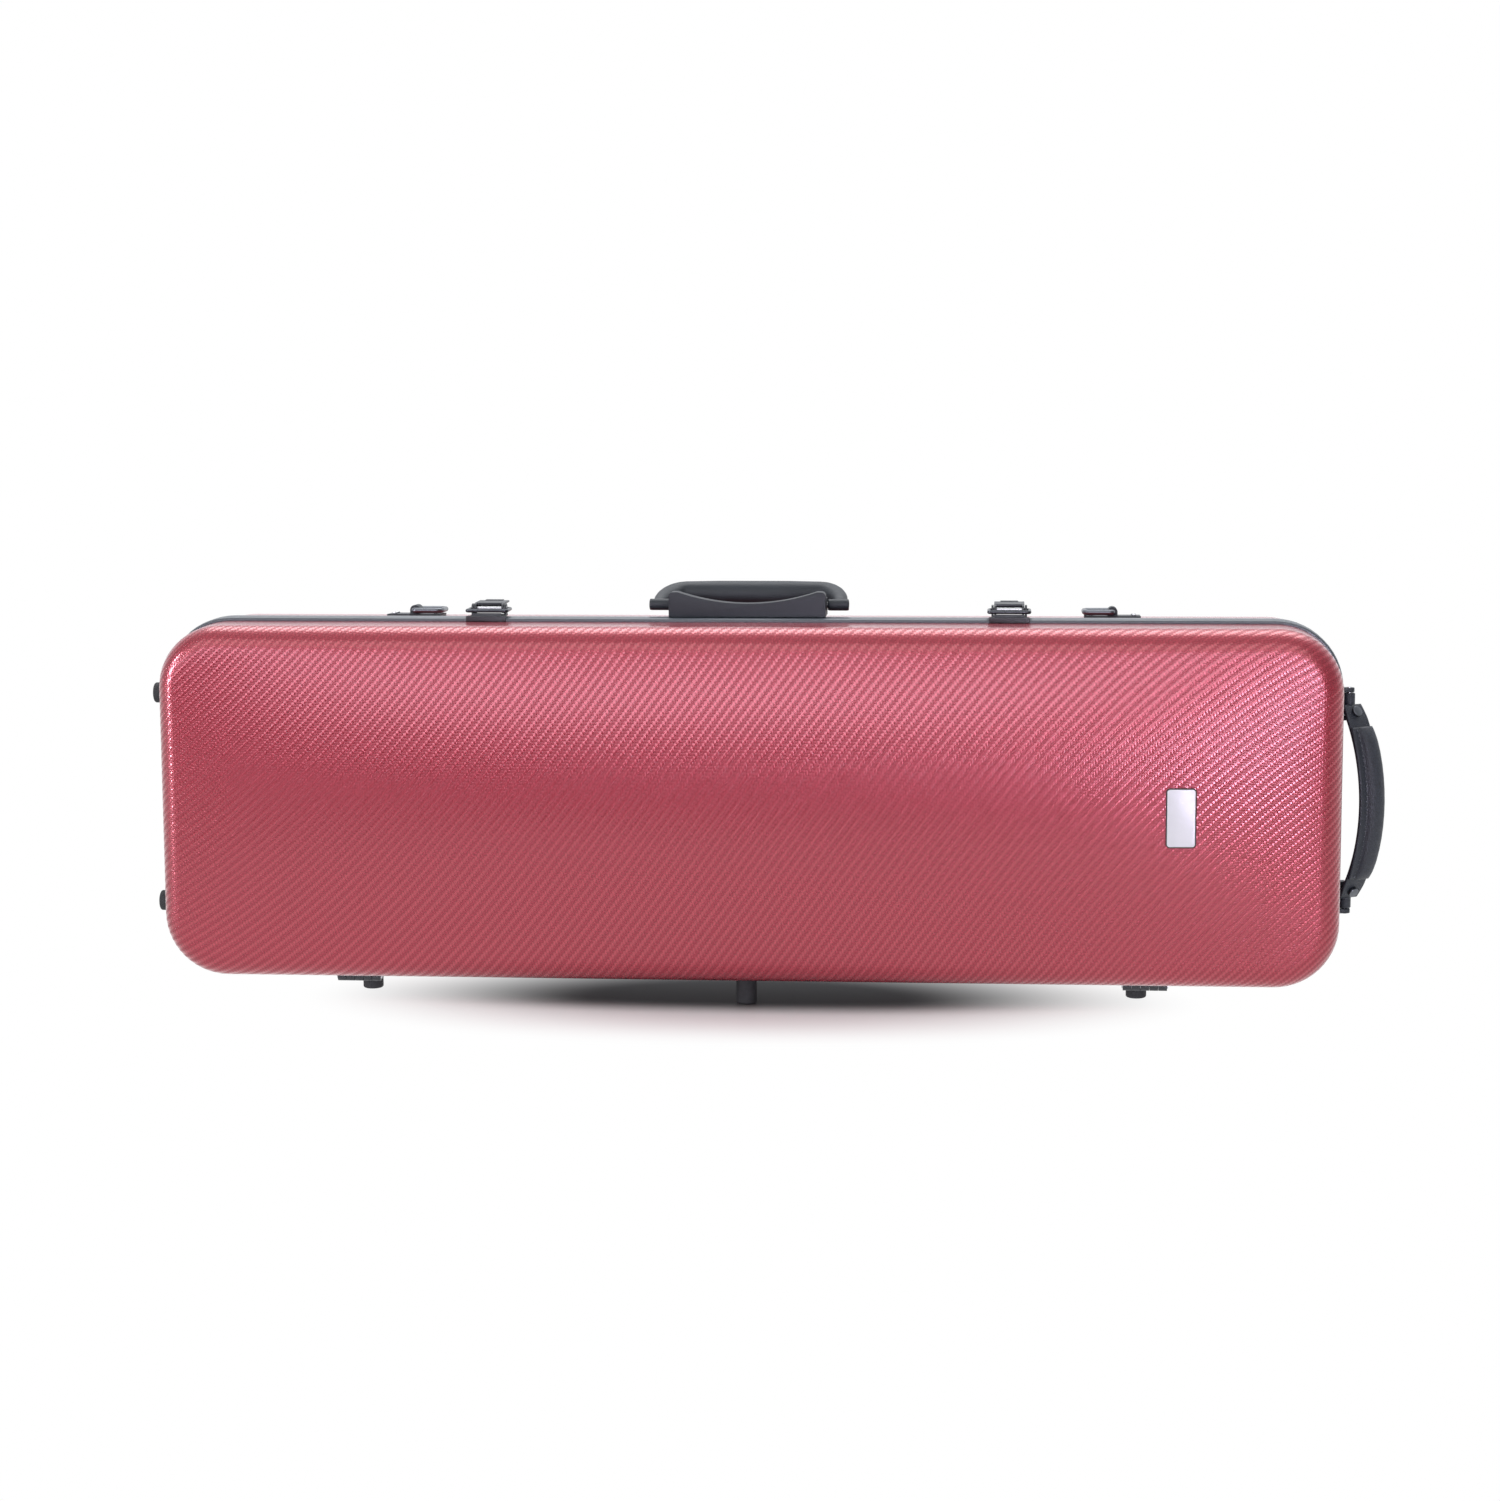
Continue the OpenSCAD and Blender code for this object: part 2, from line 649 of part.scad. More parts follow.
module handle_pins() color("silver") for (s = [-1, 1]) {
    x0 = s * (handle_base_l / 2 + 2);
    rod_x(handle_pin_r, x0 - 11, x0 + 11, handle_pivot[0], handle_pivot[1]);
}

module handle_screws() color("silver") for (x = [-34, 34])
    rod_z(3, top_z + 2.5 + gap, top_z + 4.3, x, handle_pivot[0]);

// Grip: two eyes on the pins, two arms and a thick bar, folded flat behind the base
grip_x = handle_base_l / 2 + gap + handle_eye_w / 2;
grip_r = 9;
bar_x = 46;
arm_r = 4.2;
arm_steps = 6;
module grip_ball(x, y, z, r) translate([x, y, z]) sphere(r, $fn = 28);

// An arm swells as it turns from its eye to the bar through an angle of 0 to 90 degrees
module arm_ball(s, turn) {
    swell = sin(turn);
    grip_ball(s * (bar_x + (grip_x + 1 - bar_x) * cos(turn)), 5 + (handle_reach - 6) * swell,
              0.8 + (handle_rise - 0.8) * swell, arm_r + (grip_r - 0.6 - arm_r) * swell);
}

module handle_grip() color([0.2, 0.22, 0.26]) translate([0, handle_pivot[0], handle_pivot[1]]) difference() {
    union() {
        for (s = [-1, 1]) {
            rod_x(handle_eye_r, s * grip_x - handle_eye_w / 2, s * grip_x + handle_eye_w / 2, 0, 0);
            for (k = [0:arm_steps - 1]) hull() {
                arm_ball(s, 90 * k / arm_steps);
                arm_ball(s, 90 * (k + 1) / arm_steps);
            }
        }
        hull() for (s = [-1, 1]) {
            arm_ball(s, 90);
            grip_ball(s * bar_x / 2, handle_reach - 3, handle_rise - 0.6, grip_r + 0.6);
        }
    }
    rod_x(handle_pin_r + fit, -handle_base_l, handle_base_l, 0, 0);
}

// ---------- shoulder strap rings ----------

// The holder is a bridge over the ring's straight side, which is its axle
module at_rings() for (x = [ring_left_x, ring_right_x]) translate([x, 0, 0]) children();

module ring_holders() color([0.16, 0.18, 0.21]) at_rings() on_top_wall(ring_y) difference() {
    union() {
        translate([-ring_plate[0] / 2, -ring_plate[1] / 2, 0]) cube(ring_plate);
        rod_y(ring_wire_r + 1.6, -7, 7, 0, ring_lift);
        block([-ring_wire_r - 1.6, -7, 1], [ring_wire_r + 1.6, 7, ring_lift]);
    }
    rod_y(ring_wire_r + fit, -ring_w, ring_w, 0, ring_lift);
}

module ring_rivets() color("silver") at_rings() on_top_wall(ring_y)
    for (x = [-14.5, 14.5], y = [-5, 5]) rod_z(1.7, ring_plate[2] + gap, ring_plate[2] + 1.1, x, y);

// A rounded rectangular ring of wire, with its axle on Y and its free side towards +X
module strap_ring() color([0.3, 0.31, 0.34]) on_top_wall(ring_y) translate([0, 0, ring_lift]) {
    tight = 2.5;
    wide = 5;
    rod_y(ring_wire_r, -ring_w / 2 + tight, ring_w / 2 - tight, 0, 0);
    for (s = [0, 1]) mirror([0, s, 0]) {
        translate([tight, ring_w / 2 - tight, 0]) rotate([0, 0, 90]) wire_bend(ring_wire_r, tight);
        rod_x(ring_wire_r, tight, ring_l - wide, ring_w / 2, 0);
        translate([ring_l - wide, ring_w / 2 - wide, 0]) wire_bend(ring_wire_r, wide);
    }
    rod_y(ring_wire_r, -ring_w / 2 + wide, ring_w / 2 - wide, ring_l, 0);
}

module ring_left() translate([ring_left_x, 0, 0]) strap_ring();
module ring_right() translate([ring_right_x, 0, 0]) mirror([1, 0, 0]) strap_ring();

// ---------- strap handle on the end ----------

lug_x = half_l + lug_out;
lug_z = [strap_mid_z - strap_span / 2, strap_mid_z + strap_span / 2];

lug_ear_r = 3.5;

// Lug: a plate on the end wall and two ears that hold an upright pin
module strap_lugs() color([0.16, 0.18, 0.21]) for (z = lug_z) difference() {
    x_wall = half_l - wall_drop(strap_y - 8) + gap;
    union() {
        block([x_wall, strap_y - 8, z - lug_half_l], [x_wall + 2, strap_y + 8, z + lug_half_l]);
        for (s = [-1, 1]) {
            z0 = z + s * (ear_gap + ear_w / 2) - ear_w / 2;
            block([x_wall, strap_y - lug_ear_r, z0], [lug_x, strap_y + lug_ear_r, z0 + ear_w]);
            rod_z(lug_ear_r, z0, z0 + ear_w, lug_x, strap_y);
        }
    }
    rod_z(lug_pin_r + fit, z - lug_half_l - eps, z + lug_half_l + eps, lug_x, strap_y);
}

module strap_lug_pins() color("silver")
    for (z = lug_z) rod_z(lug_pin_r, z - lug_pin_half, z + lug_pin_half, lug_x, strap_y);

// The strap's own frame: pivot axis on Z, bowing along +X before it is turned
module strap_frame() translate([lug_x, strap_y, 0]) rotate([0, 0, -strap_turn]) children();

// Radius and centre of the arc through both loops and the top of the bow
eye_r = 4;
bow_chord = strap_span / 2;
bow_rise = strap_bow - eye_r;
bow_r = (bow_chord * bow_chord + bow_rise * bow_rise) / (2 * bow_rise);
bow_cx = strap_bow - bow_r;
bow_angle = asin(bow_chord / bow_r);

// Arc of the strap between two angles, with a rectangular section
module bow_arc(half_angle, width, t0, t1) translate([bow_cx, 0, strap_mid_z])
    rotate([90, 0, 0]) rotate([0, 0, -half_angle])
    rotate_extrude(angle = 2 * half_angle, $fn = 128)
    translate([bow_r + t0, -width / 2]) square([t1 - t0, width]);

module end_strap() color([0.09, 0.1, 0.14]) strap_frame() difference() {
    union() {
        bow_arc(bow_angle, strap_w * 0.8, -strap_t, 0);
        for (z = lug_z) {
            rod_z(eye_r, z - eye_half_w, z + eye_half_w, 0, 0);
            block([0, -strap_w * 0.32, z - eye_half_w], [eye_r, strap_w * 0.32, z + eye_half_w]);
        }
    }
    for (z = lug_z) rod_z(lug_pin_r + fit, z - lug_pin_half, z + lug_pin_half, 0, 0);
}

// Padded grip, a stitched leather roll over the middle of the strap
module strap_pad() color([0.09, 0.1, 0.14]) strap_frame()
    bow_arc(asin(strap_pad_l / 2 / bow_r), strap_w, gap, pad_t);

module strap_snaps() color([0.4, 0.41, 0.44]) strap_frame() for (s = [-1, 1])
    translate([bow_cx, 0, strap_mid_z]) rotate([0, -s * asin(snap_z / bow_r), 0])
    rod_x(snap_r, bow_r + gap, bow_r + snap_t, 0, 0);

// ---------- selection ----------

placed() bottom_shell();
placed() bottom_valance();
placed() seam_gasket();
placed() bottom_lining();
placed() body_cradle();
placed() neck_block();
placed() suspension_pads();
placed() neck_strap();
placed() accessory_lid();
placed() accessory_hinge_pin();
placed() accessory_pull();
placed() lid_shell();
placed() lid_valance();
placed() lid_lining();
placed() name_plate();
placed() lid_foot();
placed() rear_feet();
placed() end_pegs();
placed() foot_screws();
placed() lid_foot_screw();
placed() hinge_case_leaves();
placed() hinge_lid_leaves();
placed() hinge_pins();
placed() hinge_case_screws();
placed() hinge_lid_screws();
placed() latch_bases();
placed() latch_pins();
placed() latch_keepers();
placed() latch_left_lever();
placed() latch_right_lever();
placed() latch_left_bail();
placed() latch_right_bail();
placed() handle_base();
placed() handle_pins();
placed() handle_screws();
placed() handle_grip();
placed() ring_holders();
placed() ring_rivets();
placed() ring_left();
placed() ring_right();
placed() strap_lugs();
placed() strap_lug_pins();
placed() end_strap();
placed() strap_pad();
placed() strap_snaps();
placed() bow_spinner_studs();
placed() bow_spinner(spinner_z);  // bow_spinner_top
placed() bow_spinner(-spinner_z);  // bow_spinner_bottom
placed() bow_tip_sleeve();
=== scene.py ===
"""An oblong violin case with a red twill-weave shell, standing on its hinge side.

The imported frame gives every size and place. The soft and smoothly curved parts are modelled here
again at a finer resolution, and the hard parts keep the frame's own shape with softened edges.
"""

import math

import bmesh
import bpy
from mathutils import Matrix, Vector


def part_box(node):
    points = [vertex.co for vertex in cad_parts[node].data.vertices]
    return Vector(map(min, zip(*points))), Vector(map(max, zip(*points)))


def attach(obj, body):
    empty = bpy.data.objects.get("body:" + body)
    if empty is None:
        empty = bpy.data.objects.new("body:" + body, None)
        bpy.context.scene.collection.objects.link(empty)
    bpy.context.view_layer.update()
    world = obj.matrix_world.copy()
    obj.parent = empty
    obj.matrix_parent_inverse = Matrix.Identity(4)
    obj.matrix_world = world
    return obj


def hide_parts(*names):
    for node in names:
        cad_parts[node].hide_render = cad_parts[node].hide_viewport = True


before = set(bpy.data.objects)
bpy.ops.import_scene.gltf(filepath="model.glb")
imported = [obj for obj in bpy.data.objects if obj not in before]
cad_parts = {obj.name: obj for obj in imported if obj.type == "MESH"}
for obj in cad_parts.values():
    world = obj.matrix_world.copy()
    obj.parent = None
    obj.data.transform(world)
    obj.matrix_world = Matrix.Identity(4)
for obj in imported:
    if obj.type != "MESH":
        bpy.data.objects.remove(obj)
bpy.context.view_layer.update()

MM = 0.001

# ---------------------------------------------------------------- sizes taken from the frame

shell_lo, shell_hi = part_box("bottom_shell")
lid_lo, lid_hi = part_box("lid_shell")
valance_lo, valance_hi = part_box("bottom_valance")
lid_valance_lo, lid_valance_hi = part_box("lid_valance")

half_l = (shell_hi.x - shell_lo.x) / 2
half_h = (shell_hi.z - shell_lo.z) / 2
mid_z = (shell_hi.z + shell_lo.z) / 2
seam_y = (valance_lo.y + lid_valance_hi.y) / 2
bottom_depth = shell_hi.y - seam_y
lid_depth = seam_y - lid_lo.y
bottom_rim = shell_lo.y - seam_y
lid_rim = seam_y - lid_hi.y
valance_out = valance_hi.x - shell_hi.x

# curves and thicknesses that the boxes don't tell
corner_r = 43 * MM
roll_r = 15 * MM
lid_crown = 12 * MM
back_crown = 3 * MM
lid_slope = math.radians(0.5)
bottom_slope = math.radians(2)
shell_t = 2.6 * MM
lining_gap = 0.4 * MM
lining_t = 6 * MM
valance_in = 7 * MM
weld_gap = 0.01 * MM

# each shell's depth, crown, wall slope, height of its rim over the seam, and side of the seam
bottom_form = (bottom_depth, back_crown, bottom_slope, bottom_rim, 1)
lid_form = (lid_depth, lid_crown, lid_slope, lid_rim, -1)


# ---------------------------------------------------------------- making pieces

def add_piece(name, points, faces, body, material, replaces=(), uvs=None):
    """A mesh piece in the row frame that moves with a body and stands for some CAD nodes."""
    mesh = bpy.data.meshes.new(name)
    mesh.from_pydata([tuple(p) for p in points], [], faces)
    mesh.validate()
    if uvs:
        layer = mesh.uv_layers.new(name="UVMap")
        for loop in mesh.loops:
            layer.data[loop.index].uv = uvs[loop.vertex_index]
    obj = bpy.data.objects.new(name, mesh)
    bpy.context.scene.collection.objects.link(obj)
    turn_outward(mesh)
    return dress(obj, body, material, replaces)


def turn_outward(mesh):
    """Makes every face point out of the solid it bounds."""
    work = bmesh.new()
    work.from_mesh(mesh)
    bmesh.ops.recalc_face_normals(work, faces=work.faces)
    work.to_mesh(mesh)
    work.free()


def coat(obj, material):
    """Puts one material on a whole mesh and shades it smooth."""
    obj.data.materials.clear()
    obj.data.materials.append(material)
    for polygon in obj.data.polygons:
        polygon.use_smooth = True


def dress(obj, body, material, replaces=()):
    """Gives a piece its finish and its body."""
    coat(obj, material)
    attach(obj, body)
    if replaces:
        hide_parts(*replaces)
    return obj


def loft_faces(rings, n, closed=False, first=0):
    """Quads between successive rings of n points each; closed joins the last ring to the first."""
    faces = []
    for k in range(rings if closed else rings - 1):
        for i in range(n):
            a = first + k * n + i
            b = first + k * n + (i + 1) % n
            c = first + ((k + 1) % rings) * n + (i + 1) % n
            d = first + ((k + 1) % rings) * n + i
            faces.append((a, b, c, d))
    return faces


def fan_faces(start, n, tip):
    """Triangles from a ring of n points to one point."""
    return [(start + i, start + (i + 1) % n, tip) for i in range(n)]


def end_caps(first, n, total):
    """The two end faces of a loft."""
    return [tuple(range(first, first + n)), tuple(range(first + total - n, first + total))]


def arc(cx, cy, r, start, end, steps=5):
    """Points along an arc, in degrees."""
    angles = [math.radians(start + (end - start) * k / steps) for k in range(steps + 1)]
    return [(cx + r * math.cos(a), cy + r * math.sin(a)) for a in angles]


def rounded_box(x0, x1, y0, y1, r):
    """Closed outline of a box with round corners."""
    return (arc(x1 - r, y1 - r, r, 0, 90, 3) + arc(x0 + r, y1 - r, r, 90, 180, 3)
            + arc(x0 + r, y0 + r, r, 180, 270, 3) + arc(x1 - r, y0 + r, r, 270, 360, 3))


def keep_node(name, material, edge):
    """A CAD node keeps its own shape, with edges softened by some millimetres and a better finish."""
    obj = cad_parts[name]
    coat(obj, material)
    weld(obj)
    merge = obj.modifiers.new("flat faces", "DECIMATE")
    merge.decimate_type = "DISSOLVE"
    merge.angle_limit = math.radians(0.5)
    bevel = obj.modifiers.new("soft edges", "BEVEL")
    bevel.width = edge * MM
    bevel.segments = 3
    bevel.limit_method = "ANGLE"
    bevel.angle_limit = math.radians(35)
    bevel.harden_normals = True


def weld(obj):
    """Joins the corners that neighbouring faces share."""
    modifier = obj.modifiers.new("weld", "WELD")
    modifier.merge_threshold = weld_gap


def even_copy(node, name, voxel):
    """A free copy of a CAD node, cut into even faces of some millimetres, to be reshaped."""
    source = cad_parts[node]
    obj = bpy.data.objects.new(name, source.data.copy())
    bpy.context.scene.collection.objects.link(obj)
    obj.matrix_world = source.matrix_world.copy()
    weld(obj)
    remesh = obj.modifiers.new("even faces", "REMESH")
    remesh.mode = "VOXEL"
    remesh.voxel_size = voxel * MM
    return obj


def apply_modifiers(obj):
    """Turns a piece's modifiers into its mesh."""
    bpy.context.view_layer.update()
    graph = bpy.context.evaluated_depsgraph_get()
    mesh = bpy.data.meshes.new_from_object(obj.evaluated_get(graph))
    obj.modifiers.clear()
    obj.data = mesh


def soften(node, name, body, material, voxel, rounds):
    """A moulded or foam piece: the CAD node's form in small even faces, smoothed some rounds."""
    obj = even_copy(node, name, voxel)
    smooth = obj.modifiers.new("round off", "SMOOTH")
    smooth.factor = 0.5
    smooth.iterations = rounds
    apply_modifiers(obj)
    return dress(obj, body, material, (node,))


# ---------------------------------------------------------------- materials

class Nodes:
    """A node tree, with short calls for the nodes used most."""

    def __init__(self, tree):
        self.tree = tree

    def add(self, kind, **settings):
        """A new node, with some of its settings."""
        made = self.tree.nodes.new(kind)
        for setting, value in settings.items():
            setattr(made, setting, value)
        return made

    def feed(self, socket, value):
        """Links another node's output to a socket, or sets the socket to a plain value."""
        if isinstance(value, bpy.types.NodeSocket):
            self.tree.links.new(value, socket)
        else:
            socket.default_value = value

    def maths(self, operation, *values):
        """The result of one sum on numbers or outputs."""
        made = self.add("ShaderNodeMath", operation=operation)
        for socket, value in zip(made.inputs, values):
            self.feed(socket, value)
        return made.outputs[0]

    def axes(self, vector):
        """The x, y and z of a vector."""
        made = self.add("ShaderNodeSeparateXYZ")
        self.feed(made.inputs[0], vector)
        return made.outputs

    def rise(self, value, start, stop, low=0.0, high=1.0, kind="LINEAR"):
        """Goes from low to high while value goes from start to stop."""
        made = self.add("ShaderNodeMapRange", interpolation_type=kind)
        for socket, given in (("Value", value), ("From Min", start), ("From Max", stop),
                              ("To Min", low), ("To Max", high)):
            self.feed(made.inputs[socket], given)
        return made.outputs["Result"]

    def spread(self, value, low, high):
        """Value from 0..1 mapped to low..high."""
        return self.rise(value, 0, 1, low, high)

    def mix(self, share, a, b):
        """Colour a turning into colour b."""
        made = self.add("ShaderNodeMix", data_type="RGBA")
        self.feed(made.inputs[0], share)
        for socket, value in zip((made.inputs[6], made.inputs[7]), (a, b)):
            self.feed(socket, value if isinstance(value, bpy.types.NodeSocket) else (*value, 1))
        return made.outputs[2]

    def blend(self, share, a, b):
        """Shader a turning into shader b."""
        made = self.add("ShaderNodeMixShader")
        for socket, value in zip(made.inputs, (share, a.outputs[0], b.outputs[0])):
            self.feed(socket, value)
        return made.outputs[0]


class Finish(Nodes):
    """A material built on one surface shader."""

    def __init__(self, name, colour, **inputs):
        self.material = bpy.data.materials.new(name)
        self.material.use_nodes = True
        self.material.diffuse_color = (*colour, 1)
        super().__init__(self.material.node_tree)
        self.surface = self.tree.nodes["Principled BSDF"]
        self.set("Base Color", (*colour, 1))
        for socket, value in inputs.items():
            self.set(socket.replace("_", " ").title().replace("Ior", "IOR"), value)

    def set(self, socket, value):
        """Links or sets one input of the surface shader."""
        self.feed(self.surface.inputs[socket], value)

    def place(self, scale=(1, 1, 1), shift=(0, 0, 0)):
        """The piece's own coordinates in metres, stretched by scale."""
        coordinates = self.add("ShaderNodeTexCoord")
        mapping = self.add("ShaderNodeMapping")
        self.feed(mapping.inputs["Vector"], coordinates.outputs["Object"])
        self.feed(mapping.inputs["Scale"], scale)
        self.feed(mapping.inputs["Location"], shift)
        return mapping.outputs["Vector"]

    def noise(self, size, detail, stretch=(1, 1, 1)):
        """Smooth noise from 0 to 1 with blotches of a size in millimetres."""
        made = self.add("ShaderNodeTexNoise")
        self.feed(made.inputs["Vector"], self.place(stretch))
        self.feed(made.inputs["Scale"], 1 / (size * MM))
        self.feed(made.inputs["Detail"], detail)
        return made.outputs["Fac"]

    def cells(self, size, feature):
        """Distance from the middle, or from the edge, of cells of a size in millimetres."""
        made = self.add("ShaderNodeTexVoronoi", feature=feature)
        self.feed(made.inputs["Vector"], self.place())
        self.feed(made.inputs["Scale"], 1 / (size * MM))
        return made.outputs["Distance"]

    def bump(self, height, distance, strength=1.0, under=None):
        """A normal from a height of 0 to 1 that stands for distance millimetres."""
        made = self.add("ShaderNodeBump")
        self.feed(made.inputs["Strength"], strength)
        self.feed(made.inputs["Distance"], distance * MM)
        self.feed(made.inputs["Height"], height)
        if under is not None:
            self.feed(made.inputs["Normal"], under)
        return made.outputs["Normal"]


def twill_height(finish):
    """Height of a 2/2 twill over a UV map that counts tows, and the height of its weft alone."""
    squareness, weft_shift = 2.5, 3
    parts = finish.axes(finish.add("ShaderNodeUVMap").outputs["UV"])
    across, up = parts["X"], parts["Y"]

    def tow(along, side, shift):
        """One family of tows: round across, bowed over the two tows each float crosses."""
        rest = finish.maths("SUBTRACT", finish.maths("MULTIPLY", finish.maths("FRACT", side), 2), 1)
        flattened = finish.maths("POWER", finish.maths("ABSOLUTE", rest), squareness)
        rounding = finish.maths("SQRT", finish.maths("SUBTRACT", 1, flattened))
        step = finish.maths("SUBTRACT", finish.maths("FLOOR", side), along)
        step = finish.maths("WRAP", finish.maths("ADD", step, shift), 2, -2)
        bow = finish.maths("COSINE", finish.maths("MULTIPLY", step, math.pi / 2))
        return finish.maths("MULTIPLY", rounding, finish.maths("MAXIMUM", bow, 0))

    warp = tow(up, across, 0)
    weft = tow(across, up, weft_shift)
    return finish.maths("MAXIMUM", warp, weft), weft


def red_twill():
    """Crimson lacquer over a twill weave whose relief shows through, with painted shade in the gaps
    between tows and a painted highlight on the warp tows.
    """
    finish = Finish("red_twill", (0.5, 0.04, 0.085), metallic=0.35, coat_weight=0.7,
                    coat_roughness=0.14, specular_ior_level=0.5)
    height, weft = twill_height(finish)
    # painted light in the colours: gaps between tows darker as painted shade, crowns lighter, and warp
    # lighter than weft as a painted highlight
    weft_mask = finish.maths("MINIMUM", finish.maths("MULTIPLY", weft, 3), 1)
    low = finish.mix(weft_mask, (0.3, 0.021, 0.036), (0.23, 0.017, 0.03))
    high = finish.mix(weft_mask, (0.43, 0.042, 0.068), (0.31, 0.028, 0.048))
    cloudy = finish.spread(finish.noise(90, 3), 0, 0.15)
    finish.set("Base Color", finish.mix(cloudy, finish.mix(height, low, high), (0.4, 0.03, 0.065)))
    finish.set("Roughness", finish.spread(weft_mask, 0.22, 0.4))
    finish.set("Coat Weight", finish.spread(weft_mask, 0.85, 0.25))
    finish.set("Normal", finish.bump(height, 0.085))
    finish.set("Coat Normal", finish.bump(height, 0.06))
    return finish.material


def satin_black(name, colour, grain, roughness, depth, coat):
    """Moulded or painted dark parts with a fine grain and faint handling marks."""
    finish = Finish(name, colour, coat_weight=coat, coat_roughness=0.2)
    worn = finish.noise(22, 5)
    finish.set("Roughness", finish.spread(worn, roughness - 0.07, roughness + 0.1))
    lighter = tuple(c * 1.5 + 0.004 for c in colour)
    finish.set("Base Color", finish.mix(finish.spread(worn, -0.2, 0.7), colour, lighter))
    coarse = finish.bump(finish.noise(grain * 8, 2), depth * 1.5, 0.4)
    finish.set("Normal", finish.bump(finish.noise(grain, 3), depth, 1.0, coarse))
    return finish.material


def rubber():
    """Dull black rubber with a little dust on it."""
    finish = Finish("foot_rubber", (0.022, 0.024, 0.027), specular_ior_level=0.35)
    dust = finish.noise(3, 6)
    finish.set("Base Color", finish.mix(dust, (0.018, 0.019, 0.022), (0.05, 0.052, 0.056)))
    finish.set("Roughness", finish.spread(dust, 0.62, 0.85))
    finish.set("Normal", finish.bump(finish.noise(0.5, 4), 0.05))
    return finish.material


def velvet(name, colour, glow):
    """Short pile that is darker where it is looked at straight on."""
    finish = Finish(name, colour, roughness=0.95, sheen_weight=1.0, sheen_roughness=0.35,
                    specular_ior_level=0.1)
    finish.set("Sheen Tint", (*glow, 1))
    brushed = finish.noise(26, 4, (1, 1, 0.5))
    pile = finish.noise(0.7, 5)
    paler = tuple(c * 1.9 + 0.006 for c in colour)
    tone = finish.mix(finish.spread(brushed, -0.1, 0.9), colour, paler)
    finish.set("Base Color", finish.mix(finish.spread(pile, 0, 0.5), tone, tuple(c * 0.5 for c in colour)))
    finish.set("Normal", finish.bump(pile, 0.35, 0.7, finish.bump(brushed, 1.2, 0.3)))
    return finish.material


def leather(name, colour):
    """Dark leather: small pebbled cells, creases and a slight polish where it is held."""
    finish = Finish(name, colour, specular_ior_level=0.5)
    cells = finish.cells(1.3, "DISTANCE_TO_EDGE")
    grain = finish.maths("MINIMUM", finish.maths("MULTIPLY", cells, 6), 1)
    creases = finish.noise(5, 5, (1, 1, 2.5))
    deep = tuple(c * 0.55 for c in colour)
    polished = tuple(c * 1.6 for c in colour)
    finish.set("Base Color", finish.mix(grain, deep, finish.mix(creases, colour, polished)))
    finish.set("Roughness", finish.spread(creases, 0.36, 0.6))
    finish.set("Normal", finish.bump(grain, 0.1, 0.8, finish.bump(creases, 0.35, 0.5)))
    return finish.material


def thread():
    """Twisted sewing thread."""
    finish = Finish("thread", (0.07, 0.08, 0.11), roughness=0.75, sheen_weight=0.4)
    wave = finish.add("ShaderNodeTexWave", wave_type="BANDS", bands_direction="DIAGONAL")
    finish.feed(wave.inputs["Vector"], finish.place())
    finish.feed(wave.inputs["Scale"], 700)
    finish.set("Normal", finish.bump(wave.outputs["Fac"], 0.12))
    return finish.material


def metal(name, colour, roughness):
    """Plated metal with fine brushing and small scratches."""
    brush = (1, 12, 12)
    finish = Finish(name, colour, metallic=1.0)
    lines = finish.noise(1.2, 4, brush)
    marks = finish.noise(9, 5)
    scratched = finish.maths("MULTIPLY", lines, marks)
    finish.set("Roughness", finish.spread(scratched, roughness - 0.06, roughness + 0.3))
    finish.set("Base Color", finish.mix(marks, tuple(c * 0.8 for c in colour), colour))
    finish.set("Normal", finish.bump(lines, 0.012))
    return finish.material


def moulded_handle():
    """Grained blue-black plastic, smoother where the hand wears it."""
    finish = Finish("handle_plastic", (0.016, 0.02, 0.027), specular_ior_level=0.4)
    leathery = finish.cells(0.9, "SMOOTH_F1")
    worn = finish.noise(30, 3)
    finish.set("Base Color", finish.mix(worn, (0.012, 0.016, 0.022), (0.026, 0.032, 0.041)))
    finish.set("Roughness", finish.spread(worn, 0.42, 0.58))
    finish.set("Normal", finish.bump(leathery, 0.06, 0.6, finish.bump(finish.noise(0.3, 2), 0.02)))
    return finish.material


def silver_plate():
    """Anodised plate, satin, with a fine brush along its length."""
    finish = Finish("plate_silver", (0.6, 0.6, 0.62), metallic=0.5)
    lines = finish.noise(0.6, 3, (8, 8, 1))
    finish.set("Roughness", finish.spread(lines, 0.32, 0.48))
    finish.set("Base Color", finish.mix(lines, (0.5, 0.5, 0.53), (0.62, 0.62, 0.64)))
    finish.set("Normal", finish.bump(lines, 0.01))
    return finish.material


finishes = {
    "shell": red_twill(),
    "valance": satin_black("valance_black", (0.055, 0.066, 0.082), 0.6, 0.36, 0.02, 0.3),
    "rubber": rubber(),
    "lining": velvet("lining_velvet", (0.022, 0.023, 0.028), (0.45, 0.46, 0.55)),
    "cradle": velvet("cradle_velvet", (0.03, 0.031, 0.038), (0.5, 0.5, 0.6)),
    "handle": moulded_handle(),
    "latch": satin_black("latch_black", (0.02, 0.023, 0.029), 0.4, 0.46, 0.015, 0.1),
    "wire": metal("wire_black", (0.07, 0.075, 0.085), 0.26),
    "ring": metal("ring_dark", (0.16, 0.17, 0.19), 0.3),
    "steel": metal("screw_steel", (0.62, 0.63, 0.65), 0.22),
    "leather": leather("strap_leather", (0.018, 0.022, 0.034)),
    "thread": thread(),
    "plate": silver_plate(),
}


# ---------------------------------------------------------------- the shells' shared surface

CORNER_STEPS = 14
LONG_STEPS = 72
SHORT_STEPS = 22
ROLL_STEPS = 14
WALL_STEPS = 4
LEAST_CORNER = 6 * MM


